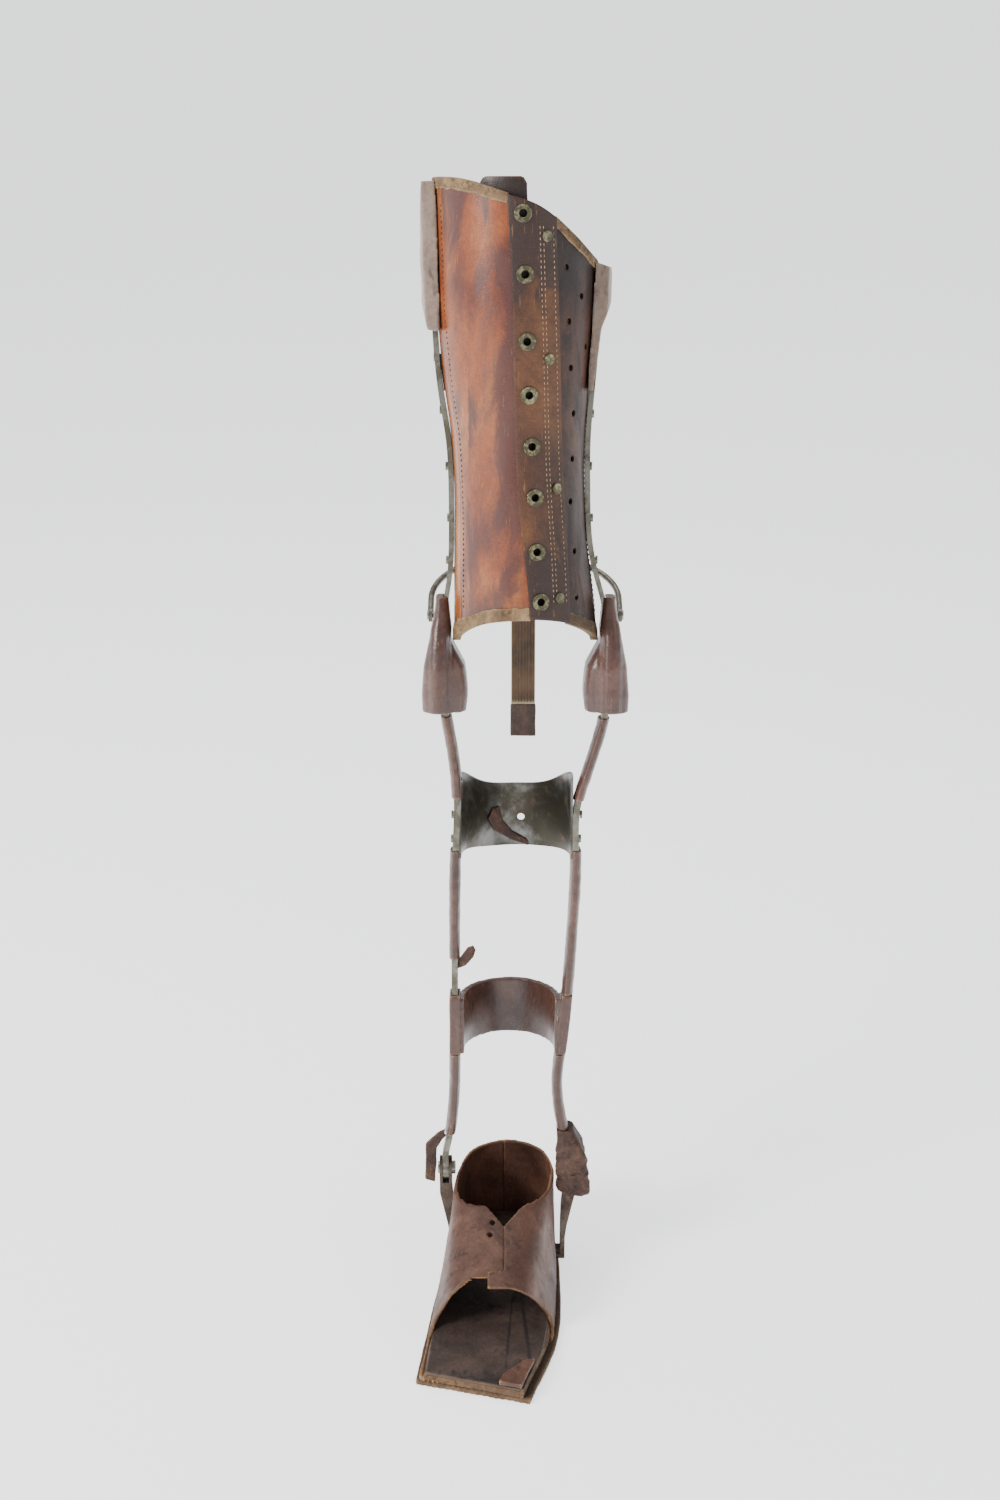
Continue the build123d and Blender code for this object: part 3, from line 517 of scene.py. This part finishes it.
def metal(name, base, patina, rust, rough=(0.3, 0.55), patina_at=(0.42, 0.62),
          rust_at=(0.6, 0.72), scale=60.0, metallic=0.85, bump=0.25):
    """Old metal with patina patches, rust spots and fine scratches."""
    material, tree, shader = nodes_for(name)
    plain = texture_space(tree)
    patches = noise_at(tree, plain, scale, detail=8, rough=0.65, distortion=0.5)
    spots = noise_at(tree, texture_space(tree, turn=(0.4, 0.2, 0.9)), scale * 2.6, detail=6,
                     rough=0.7)
    fine = noise_at(tree, texture_space(tree, scale=(1, 1, 0.15)), 900, detail=3)
    patina_share = grey(tree, patches, *patina_at)
    colour = colour_mix(tree, patina_share, base, patina)
    rust_share = grey(tree, spots, *rust_at)
    colour = colour_mix(tree, rust_share, colour, rust)
    tree.links.new(colour, shader.inputs["Base Color"])
    clean = grey(tree, spots, *rust_at, metallic, 0.15)
    tree.links.new(clean, shader.inputs["Metallic"])
    tree.links.new(grey(tree, patches, 0.2, 0.8, *rough), shader.inputs["Roughness"])
    bumped(tree, shader, [(patches, 1.0), (spots, 0.8), (fine, 0.15)], 0.3, bump)
    return material


def webbing_material():
    material, tree, shader = nodes_for("webbing")
    plain = texture_space(tree)
    blotch = noise_at(tree, plain, 45, detail=6)
    colour = ramp(tree, blotch, [(0.3, (0.040, 0.019, 0.008)), (0.5, (0.078, 0.039, 0.017)),
                                 (0.7, (0.13, 0.07, 0.033))])
    yarn = tree.nodes.new("ShaderNodeTexWave")
    yarn.bands_direction = "X"
    yarn.inputs["Scale"].default_value = 290
    yarn.inputs["Distortion"].default_value = 0.6
    tree.links.new(plain, yarn.inputs["Vector"])
    pick = tree.nodes.new("ShaderNodeTexWave")
    pick.bands_direction = "Z"
    pick.inputs["Scale"].default_value = 360
    pick.inputs["Distortion"].default_value = 0.8
    tree.links.new(plain, pick.inputs["Vector"])
    colour = colour_mix(tree, grey(tree, yarn.outputs["Fac"], 0.2, 0.8, 0, 0.5), colour,
                        (0.35, 0.3, 0.2), "MULTIPLY")
    colour = colour_mix(tree, grey(tree, painted(tree, "wear"), 0.1, 0.6), colour,
                        (0.42, 0.32, 0.19))
    tree.links.new(colour, shader.inputs["Base Color"])
    shader.inputs["Roughness"].default_value = 0.9
    shader.inputs["Sheen Weight"].default_value = 0.3
    bumped(tree, shader, [(yarn.outputs["Fac"], 1.0), (pick.outputs["Fac"], 0.6)], 0.4, 0.7)
    return material


CORSET_LEATHER = leather(
    "corset leather", (0.130, 0.026, 0.009), (0.27, 0.066, 0.015), (0.43, 0.155, 0.036),
    (0.052, 0.014, 0.012), (0.40, 0.18, 0.06), rough=(0.2, 0.42), scale=15, coat=0.35,
    diagonal=(0.0, 0.85, 0.0), stretch=(1.3, 1.3, 0.6), bump=0.3, stain_at=(0.54, 0.8))
FACING_LEATHER = leather(
    "facing leather", (0.032, 0.010, 0.004), (0.090, 0.029, 0.008), (0.175, 0.064, 0.015),
    (0.017, 0.007, 0.006), (0.30, 0.13, 0.045), rough=(0.36, 0.6), scale=24, coat=0.08,
    stretch=(1, 1, 0.7), bump=0.5, stain_at=(0.6, 0.85))
MEDIAL_LEATHER = leather(
    "medial leather", (0.014, 0.004, 0.002), (0.040, 0.010, 0.003), (0.085, 0.025, 0.006),
    (0.009, 0.003, 0.003), (0.17, 0.065, 0.02), rough=(0.4, 0.62), scale=20, coat=0.05, bump=0.4)
LINING_LEATHER = leather(
    "lining leather", (0.16, 0.10, 0.055), (0.27, 0.18, 0.105), (0.36, 0.25, 0.15),
    (0.09, 0.05, 0.028), (0.42, 0.30, 0.17), rough=(0.65, 0.9), scale=18, sheen=0.2, bump=0.4)
BINDING_LEATHER = leather(
    "binding leather", (0.10, 0.055, 0.024), (0.21, 0.125, 0.055), (0.33, 0.21, 0.10),
    (0.045, 0.026, 0.013), (0.45, 0.31, 0.16), rough=(0.6, 0.9), scale=70, stretch=(1, 1, 1),
    bump=0.8, scratches=0.2)
SUEDE = leather(
    "suede", (0.145, 0.098, 0.072), (0.24, 0.170, 0.130), (0.34, 0.25, 0.195),
    (0.07, 0.048, 0.038), (0.30, 0.22, 0.16), rough=(0.7, 0.95), scale=22, sheen=0.5,
    grain=1800, bump=0.35, scratches=0.15)
COVER_LEATHER = leather(
    "cover leather", (0.039, 0.017, 0.012), (0.084, 0.037, 0.026), (0.145, 0.068, 0.047),
    (0.028, 0.014, 0.012), (0.30, 0.17, 0.09), rough=(0.24, 0.48), scale=30, coat=0.3, bump=0.45,
    stain_at=(0.62, 0.85))
TORN_LEATHER = leather(
    "torn leather", (0.026, 0.011, 0.008), (0.065, 0.030, 0.020), (0.14, 0.070, 0.042),
    (0.014, 0.008, 0.006), (0.24, 0.13, 0.065), rough=(0.55, 0.85), scale=60,
    stretch=(1, 1, 1), bump=0.9)
FOOT_LEATHER = leather(
    "foot leather", (0.050, 0.020, 0.013), (0.100, 0.042, 0.026), (0.165, 0.074, 0.046),
    (0.024, 0.011, 0.008), (0.34, 0.18, 0.07), rough=(0.42, 0.7), scale=24, bump=0.5,
    stretch=(1, 1, 1))
# its fourth colour darkens the stains and also paints the shade in the insole's slit and crease
INSOLE_LEATHER = leather(
    "insole leather", (0.024, 0.014, 0.011), (0.052, 0.031, 0.024), (0.095, 0.058, 0.044),
    (0.012, 0.008, 0.007), (0.18, 0.10, 0.05), rough=(0.5, 0.8), scale=26, stretch=(1, 1, 1),
    bump=0.6)
SOLE_LEATHER = leather(
    "sole leather", (0.055, 0.026, 0.012), (0.115, 0.060, 0.026), (0.20, 0.115, 0.052),
    (0.028, 0.014, 0.008), (0.30, 0.17, 0.07), rough=(0.6, 0.9), scale=50, stretch=(1, 1, 1),
    bump=0.9)
END_LEATHER = leather(
    "strap end leather", (0.025, 0.013, 0.009), (0.055, 0.028, 0.019), (0.10, 0.055, 0.035),
    (0.014, 0.009, 0.007), (0.22, 0.14, 0.08), rough=(0.5, 0.8), scale=60, bump=0.7)
WEBBING = webbing_material()
THREAD = leather("pale thread", (0.22, 0.15, 0.08), (0.32, 0.23, 0.13), (0.42, 0.31, 0.19),
                 (0.2, 0.13, 0.07), (0.5, 0.4, 0.28), rough=(0.7, 0.9), scale=200, bump=0.3)
DARK_THREAD = leather("dark thread", (0.02, 0.012, 0.01), (0.04, 0.024, 0.018),
                      (0.07, 0.045, 0.03), (0.012, 0.009, 0.008), (0.1, 0.07, 0.05),
                      rough=(0.7, 0.9), scale=200, bump=0.3)
BAR_STEEL = metal("bar steel", (0.23, 0.22, 0.18), (0.11, 0.10, 0.075), (0.10, 0.055, 0.03))
BAND_STEEL = metal("band steel", (0.20, 0.20, 0.19), (0.062, 0.055, 0.040),
                   (0.085, 0.048, 0.028), rough=(0.25, 0.5), patina_at=(0.34, 0.56),
                   rust_at=(0.56, 0.7), scale=22)
STIRRUP_STEEL = metal("stirrup steel", (0.13, 0.105, 0.085), (0.058, 0.036, 0.026),
                      (0.075, 0.036, 0.02), rough=(0.4, 0.7), rust_at=(0.5, 0.64))
SCREW_STEEL = metal("screw steel", (0.42, 0.40, 0.35), (0.22, 0.20, 0.16), (0.14, 0.08, 0.045),
                    rough=(0.25, 0.45), rust_at=(0.62, 0.75), scale=120)
BRASS = metal("aged brass", (0.30, 0.26, 0.15), (0.085, 0.082, 0.050), (0.05, 0.04, 0.025),
              rough=(0.24, 0.45), scale=260, patina_at=(0.35, 0.55))


# ---------------------------------------------------------------- corset
def panel(name, left, right, columns, node, material, outer=0.0, inner=-LEATHER, rows=130,
          places=(), radius=LACE_HOLE, stain_and_painted_shade=None):
    """A sheet of the corset between two seams, with holes and stained edges."""
    turn, s = wall_grid(left, right, columns, rows, BINDING, BINDING)
    face = wall_points(turn, s, 0.0)
    wave = (ripple(face, 55, 1.0) * 0.25).reshape(turn.shape)
    mesh = shell_mesh(name, wall_points(turn, s, outer + wave), wall_points(turn, s, inner + wave))
    if len(places):
        mesh = cut(mesh, drills(places, radius, outer))
    mesh = worn_edges(mesh, 0.7)
    at = to_upright(points_of(mesh))
    low = low_edge(at[:, 1])
    top = top_edge(at[:, 0])
    edge = np.exp(-(at[:, 2] - low) / 14) + np.exp(-(top - at[:, 2]) / 18)
    mark(mesh, "stain_and_painted_shade", np.clip(edge * 0.5 + (stain_and_painted_shade(at) if stain_and_painted_shade else 0), 0, 1))
    mark_wear(mesh, gain=1.4, rounds=1)
    return add(name, mesh, "thigh", material, (node,))


def near(value, middle, width):
    return np.exp(-(((value - middle) / width) ** 2))


def left_of_facing(s):
    return turn_at_x(facing_left(s), s)


def right_of_facing(s):
    return turn_at_x(facing_right(s), s)


def lateral_seam(s):
    return turn_at_y(LATERAL_SEAM_Y, s, "lateral")


def medial_seam(s):
    return turn_at_y(MEDIAL_SEAM_Y, s, "medial")


def front_stain(at):
    x, s = at[:, 0], at[:, 2]
    seam = near(x, -38, 7) * 0.45
    beside_facing = near(x, 2, 9) * near(s, 640, 130) * 0.9
    bands = 0.5 * near(s - 1.1 * x, 560, 22) + 0.55 * near(s - 1.2 * x, 655, 26)
    bands = bands + 0.45 * near(s - 0.9 * x, 735, 24) + 0.4 * near(s - 1.1 * x, 505, 14)
    return seam + beside_facing + bands * (x > -30)


def facing_stain(at):
    s = at[:, 2]
    return np.clip((s - 690) / 60, 0, 0.8) + np.clip((560 - s) / 60, 0, 0.8)


panel("front_leather", lateral_seam, right_of_facing, 70, "corset_front_panel", CORSET_LEATHER,
      places=EYELETS, radius=EYELET_BARREL, stain_and_painted_shade=front_stain)
panel("medial_leather", right_of_facing, medial_seam, 48, "corset_medial_panel", MEDIAL_LEATHER,
      places=LACE_HOLES, stain_and_painted_shade=lambda at: 0.25 + 0 * at[:, 0])
panel("back_leather", medial_seam, lambda s: lateral_seam(s) + 2 * math.pi, 110,
      "corset_back_panel", CORSET_LEATHER)
panel("lining_leather", lambda s: lateral_seam(s) + 0.001,
      lambda s: lateral_seam(s) + 2 * math.pi - 0.001, 150, "corset_lining", LINING_LEATHER,
      outer=-LEATHER - 0.05, inner=-LEATHER - LINING, rows=90,
      places=EYELETS + LACE_HOLES, radius=LINING_HOLE)
panel("facing_strip", left_of_facing, right_of_facing, 22, "eyelet_facing", FACING_LEATHER,
      outer=FACING, inner=0.1, places=EYELETS, radius=EYELET_BARREL,
      stain_and_painted_shade=facing_stain)


def binding(name, node, depth, ragged, seed, stain_and_painted_shade):
    """Thin leather folded over an edge of the corset, open behind the facing."""
    start, end = right_of_facing, lambda s: left_of_facing(s) + 2 * math.pi
    turn, s = wall_grid(start, end, 260, 2)
    upper = node == "top_binding"
    row = -1 if upper else 0
    turn, edge = turn[row], s[row]
    down = -1 if upper else 1
    wall = -LEATHER - LINING
    base = wall_points(turn, edge, 0.0)
    fray = ripple(base, 5, seed) * ragged + ripple(base, 18, seed + 7) * ragged
    profile = [(0.06, 1.0, 1), (BINDING * 0.75, 1.0, 1), (BINDING, 0.8, 0), (BINDING, 0.1, 0),
               (BINDING * 0.6, 0, 0), (wall - BINDING * 0.6, 0, 0), (wall - BINDING, 0.1, 0),
               (wall - BINDING, 0.85, 0), (wall - 0.06, 0.9, 0), (wall - 0.06, 0.16, 0),
               (0.06, 0.16, 0)]
    rings = []
    for offset, drop, loose in profile:
        height = edge + down * (drop * depth + loose * fray)
        wobble = 0.12 * fray * (drop > 0.5)
        rings.append(wall_points(turn, height, offset + wobble))
    mesh = tube_mesh(name, np.stack(rings, 1))
    mark(mesh, "stain_and_painted_shade", stain_and_painted_shade(to_upright(points_of(mesh))))
    mark_wear(mesh, gain=1.2, rounds=1)
    add(name, mesh, "thigh", BINDING_LEATHER, (node,))


binding("top_edge_binding", "top_binding", TOP_BINDING_DEPTH, 1.0, 3.0, lambda at: 0.1 + 0 * at[:, 0])
binding("low_edge_binding", "bottom_binding", LOW_BINDING_DEPTH, 1.4, 5.0,
        lambda at: np.where(at[:, 0] > 20, 0.65, 0.05))


def tongue():
    """Leather tongue behind the lacing, its top corners rounded."""
    rows, columns = 70, 16
    s = np.linspace(478, 799, rows)[:, None] + np.zeros(columns)
    left = through([(400, -22), (794, -24)])(s)
    right = through([(400, 40), (792, 14)])(s)
    u = np.linspace(0, 1, columns)
    x = left + (right - left) * u
    corner = np.clip((np.abs(u - 0.5) - 0.38) / 0.12, 0, 1) ** 2 * 5.0
    s = s - corner * np.linspace(0, 1, rows)[:, None] ** 12
    turn = turn_at_x(x, s)
    out = -LEATHER - LINING - BINDING
    mesh = shell_mesh("tongue", wall_points(turn, s, out), wall_points(turn, s, out - TONGUE))
    mesh = worn_edges(mesh, 0.6)
    mark(mesh, "stain_and_painted_shade", 0.5 * np.ones(len(mesh.vertices)))
    mark_wear(mesh, rounds=1)
    add("tongue", mesh, "thigh", MEDIAL_LEATHER, ("lacing_tongue",))


tongue()

heights = np.linspace(486, 766, 150)
for label, inset in (("edge", 2.6), ("middle", 9.6), ("inner", 12.0)):
    turns = turn_at_x(facing_right(heights) - inset, heights)
    stitches(f"facing_stitches_{label}", wall_line(turns, heights, FACING), "thigh", THREAD)
heights = np.linspace(478, 785, 160)
turns = turn_at_y(LATERAL_SEAM_Y - 4, heights, "lateral")
stitches("seam_stitches_lateral", wall_line(turns, heights, 0.0), "thigh", DARK_THREAD)
heights = np.linspace(470, 728, 140)
turns = turn_at_y(MEDIAL_SEAM_Y - 4, heights, "medial")
stitches("seam_stitches_medial", wall_line(turns, heights, 0.0), "thigh", DARK_THREAD)


# ---------------------------------------------------------------- remade leather pieces
def remade(name, node, body, material, voxel=1.0, smooth=3, waves=(), stain_and_painted_shade=None,
           shape=None, gain=2.2):
    """A soft CAD node built again as an evenly divided, rumpled leather piece."""
    mesh = softened(node, voxel, smooth)
    if shape:
        set_points(mesh, shape(points_of(mesh), normals_of(mesh)))
    for i, (size, height, stretch) in enumerate(waves):
        rumple(mesh, size, height, seed=1.7 * i + len(name), stretch=stretch)
    points = points_of(mesh)
    # the stain attribute also carries painted shade where a piece's function puts it, as in the
    # insole's slit and crease
    mark(mesh, "stain_and_painted_shade", np.clip(stain_and_painted_shade(points), 0, 1) if stain_and_painted_shade else np.zeros(len(points)))
    mark_wear(mesh, gain)
    return add(name, mesh, body, material, (node,))


def rounded_sleeve(points, _normals):
    """Draw the corners of a sleeve in to an oval round its bar."""
    at, slices = to_upright(points), 29
    bins = np.linspace(at[:, 2].min(), at[:, 2].max(), slices + 1)
    which = np.clip(np.digitize(at[:, 2], bins) - 1, 0, slices - 1)
    middles = [(at[which == k, 0].min() + at[which == k, 0].max()) / 2 for k in range(slices)]
    middle = np.interp(at[:, 2], (bins[:-1] + bins[1:]) / 2, middles)
    across, deep = at[:, 0] - middle, at[:, 1]
    reach = np.sqrt((across / 4.6) ** 2 + (deep / 10.2) ** 2)
    share = np.minimum(1.0, 1.03 / np.maximum(reach, 1e-6))
    return upright(middle + across * share, deep * share, at[:, 2])


def smooth_step(value, low, high):
    f = np.clip((value - low) / (high - low), 0, 1)
    return f * f * (3 - 2 * f)


def cover_shape(side):
    """A knee cover with a proud front ridge, a leaf set back on its inner side, a drawn-in neck."""
    joint_x = KNEE_X[side]

    def shape(points, _normals):
        x, y, s = to_upright(points).T
        out = OUTWARD[side] * (x - joint_x)
        neck = 1 - 0.3 * smooth_step(s, 456, 482)
        front = smooth_step(-y, -16, 12)
        body = smooth_step(-s, -462, -446)
        inner = smooth_step(-out, 3.5, 8.0)
        outer = smooth_step(out, 8.0, 12.5)
        y = y + front * body * (6.5 * inner + 2.6 * near(out, -4.2, 1.6) + 2.2 * outer)
        bulge = body * inner * (2.2 * near(s, 412, 24) - 1.2 * near(s, 446, 10))
        out = out - bulge
        y = y - front * 1.2 * near(out, 3.5, 5.0)
        return upright(joint_x + OUTWARD[side] * out * neck, y, s)
    return shape


def shredded(points, normals):
    """Lumps and torn shreds at the lower end of the ankle wrap."""
    s = to_upright(points)[:, 2]
    torn = smooth_step(-s, -34, -4)
    big, small = ripple(points, 13, 4.0), ripple(points, 5, 9.0)
    fine = ripple(points * np.array((1, 1, 2.5)), 3, 12.0)
    push = torn * (2.6 * big + 1.3 * small + 0.5 * fine) * MM
    drop = torn * 3.0 * ripple(points * np.array((1, 1, 0.1)), 6, 2.0) * MM
    moved = points + normals * push[:, None]
    moved[:, 2] += drop * (s < 0)
    return moved


EVEN, LONG = (1, 1, 1), (1, 1, 0.35)
for side in OUTWARD:
    pad = remade(f"{side}_suede_pad", f"{side}_bar_pad", "thigh", SUEDE, 1.1, 4,
                 [(26, 0.7, EVEN), (6, 0.12, EVEN)])
    remade(f"{side}_cover_leather", f"{side}_knee_cover", "thigh", COVER_LEATHER,
           0.9, 3, [(16, 0.5, LONG), (5, 0.12, EVEN)], shape=cover_shape(side),
           stain_and_painted_shade=lambda p: 0.3 * near(to_upright(p)[:, 2], 440, 16))
    for place in ("upper", "middle", "lower"):
        remade(f"{side}_{place}_wrap", f"{side}_{place}_sleeve", "shank", COVER_LEATHER,
               0.8, 1, [(7, 0.3, EVEN), (14, 0.35, LONG)],
               shape=rounded_sleeve)
remade("calf_band_leather", "lower_calf_band_cover", "shank", COVER_LEATHER, 1.0,
       4, [(22, 0.4, EVEN)])
remade("strap_remnant_leather", "strap_remnant", "shank", TORN_LEATHER, 0.6, 2,
       [(8, 0.3, EVEN)])
remade("bar_tab_leather", "lateral_bar_tab", "shank", TORN_LEATHER, 0.6, 2,
       [(5, 0.2, EVEN)])
remade("ankle_flap_leather", "torn_ankle_flap", "shank", TORN_LEATHER, 0.7, 2,
       [(7, 0.6, EVEN)])
remade("ankle_wrap_leather", "shredded_ankle_wrap", "shank", TORN_LEATHER, 0.8, 2,
       shape=shredded)
for side in OUTWARD:
    remade(f"{side}_foot_leather", f"{side}_quarter", "foot", FOOT_LEATHER, 1.0,
           3, [(30, 0.7, EVEN), (9, 0.2, EVEN)])
remade("heel_leather", "heel_counter", "foot", FOOT_LEATHER, 0.8, 2,
       [(20, 0.2, EVEN)])
remade("sole_leather", "outsole", "foot", SOLE_LEATHER, 1.3, 2,
       [(12, 0.25, EVEN)], stain_and_painted_shade=lambda p: 1.0 * (p[:, 2] > 4.2 * MM))
remade("midsole_leather", "midsole", "foot", SOLE_LEATHER, 1.0, 2,
       [(12, 0.2, EVEN)])


def insole_print_and_painted_shade(points):
    """Painted shade in a long slit and in a crease beside it, and the dark print of the foot."""
    x, y = points[:, 0] / MM, points[:, 1] / MM
    on_top = points[:, 2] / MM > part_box("insole")[1].z / MM - 0.8
    along = (y > -166) & (y < -74)
    # painted shade: a dark line along the slit, and a fainter one along the crease; the rim is the
    # dark print of the foot
    slit = near(x, 11.4 - (y + 75) * 0.073, 0.9) * along
    crease = near(x, 4.0 + (y + 73) * 0.066, 0.8) * along * 0.6
    rim = np.clip((-y - 165) / 20, 0, 1) * 0.5
    return (slit * 2 + crease + rim) * on_top


# the insole's stain attribute holds the painted shade of its slit and crease as well as the dark print
# of the foot
remade("insole_leather", "insole", "foot", INSOLE_LEATHER, 0.9, 2,
       [(25, 0.3, EVEN)], stain_and_painted_shade=insole_print_and_painted_shade)
remade("toe_flap_leather", "folded_toe_flap", "foot", FOOT_LEATHER, 0.8, 2,
       [(9, 0.5, EVEN)])


# ---------------------------------------------------------------- strap
def strap():
    """Ribbed elastic looped over the bail, its end capped with leather."""
    low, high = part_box("elastic_strap")
    middle_x = (low.x + high.x) / 2 / MM
    thick, radius, hang = 1.8, 4.2, math.radians(3.0)
    path = []
    for k in range(22):
        angle = math.radians(-70 + 250 * k / 21)
        path.append((BAIL_Y + radius * math.cos(angle), BAIL_S + radius * math.sin(angle)))
    for k in range(1, 60):
        drop = k * 2.5
        y = BAIL_Y + drop * math.sin(hang) - radius * math.exp(-drop / 9.0)
        path.append((y, BAIL_S - drop * math.cos(hang)))
    path = np.array([p for p in path if p[1] > BAIL_S - STRAP_LENGTH + STRAP_END])
    along = np.gradient(path, axis=0)
    along /= np.linalg.norm(along, axis=1)[:, None]
    side = np.stack([along[:, 1], -along[:, 0]], 1)
    across = np.linspace(-STRAP_WIDTH / 2, STRAP_WIDTH / 2, 25)
    rib = 0.18 * np.cos(across * 2 * math.pi / 2.5)
    grids = []
    for sign in (1, -1):
        off = sign * (thick / 2 + rib)
        y = path[:, 0][:, None] + side[:, 0][:, None] * off
        s = path[:, 1][:, None] + side[:, 1][:, None] * off
        x = middle_x + across + 0 * y
        grids.append(upright(x, y, s))
    mesh = shell_mesh("strap", *grids)
    mark(mesh, "stain_and_painted_shade", np.zeros(len(mesh.vertices)))
    mark_wear(mesh, rounds=1)
    piece = add("strap", mesh, "strap", WEBBING, ("elastic_strap",))
    end = remade("strap_end_leather", "strap_end_piece", "strap", END_LEATHER,
                 0.6, 2, [(8, 0.3, EVEN)])


strap()

# ---------------------------------------------------------------- carried-over steel and brass
FINISHES = {
    "bar_steel": BAR_STEEL, "band_steel": BAND_STEEL, "stirrup_steel": STIRRUP_STEEL,
    "screw_steel": SCREW_STEEL, "aged_brass": BRASS}
KEPT = {
    "lateral_thigh_bar": "bar_steel", "medial_thigh_bar": "bar_steel",
    "thigh_bar_rivets": "bar_steel", "rear_thigh_band": "bar_steel",
    "knee_pivot_screws": "screw_steel", "lace_eyelets": "aged_brass",
    "facing_rivets": "aged_brass", "lock_bail": "bar_steel", "lock_pawls": "bar_steel",
    "pawl_pins": "screw_steel", "lateral_shank_bar": "bar_steel",
    "medial_shank_bar": "bar_steel", "upper_calf_band": "band_steel",
    "calf_band_rivets": "bar_steel", "lower_calf_band_core": "band_steel",
    "ankle_stirrup": "stirrup_steel", "ankle_pivot_screws": "screw_steel",
    "sole_plate": "stirrup_steel", "stirrup_rivets": "screw_steel"}
for name, slot in KEPT.items():
    data = NODES[name].data
    data.materials.clear()
    data.materials.append(FINISHES[slot])

# ---------------------------------------------------------------- floor, light and camera
floor_mesh = bpy.data.meshes.new("floor")
floor_mesh.from_pydata([(x * FLOOR_REACH, y * FLOOR_REACH, 0)
                        for x, y in ((-1, -1), (1, -1), (1, 1), (-1, 1))], [], [(0, 1, 2, 3)])
floor = bpy.data.objects.new("floor", floor_mesh)
bpy.context.scene.collection.objects.link(floor)
paper, _, paper_shader = nodes_for("pale paper")
paper_shader.inputs["Base Color"].default_value = (0.88, 0.88, 0.88, 1)
paper_shader.inputs["Roughness"].default_value = 0.9
paper_shader.inputs["Emission Color"].default_value = (0.98, 0.99, 1.0, 1)
paper_shader.inputs["Emission Strength"].default_value = 1.3
floor_mesh.materials.append(paper)

world = bpy.data.worlds.new("studio")
bpy.context.scene.world = world
world.use_nodes = True
world.node_tree.nodes["Background"].inputs["Color"].default_value = (0.95, 0.97, 1.0, 1)
world.node_tree.nodes["Background"].inputs["Strength"].default_value = 0.55


def soft_light(name, place, size, power):
    """A round area light aimed at the middle of the brace."""
    data = bpy.data.lights.new(name, "AREA")
    data.shape, data.size, data.energy = "DISK", size, power
    lamp = bpy.data.objects.new(name, data)
    lamp.location = place
    lamp.rotation_euler = (Vector(LIGHT_TARGET) - Vector(place)).to_track_quat("-Z", "Y").to_euler()
    bpy.context.scene.collection.objects.link(lamp)


soft_light("key", (-2.3, -1.5, 1.9), 1.3, 115)
soft_light("fill", (2.0, -1.2, 1.5), 2.0, 8)
soft_light("top", (-0.4, 0.6, 2.8), 1.8, 30)

camera_data = bpy.data.cameras.new("camera")
camera_data.sensor_width, camera_data.lens = 36.0, 50.0
camera = bpy.data.objects.new("camera", camera_data)
camera.location = CAMERA_PLACE
camera.rotation_euler = (math.radians(90 - CAMERA_PITCH), 0, 0)
bpy.context.scene.collection.objects.link(camera)
bpy.context.scene.camera = camera
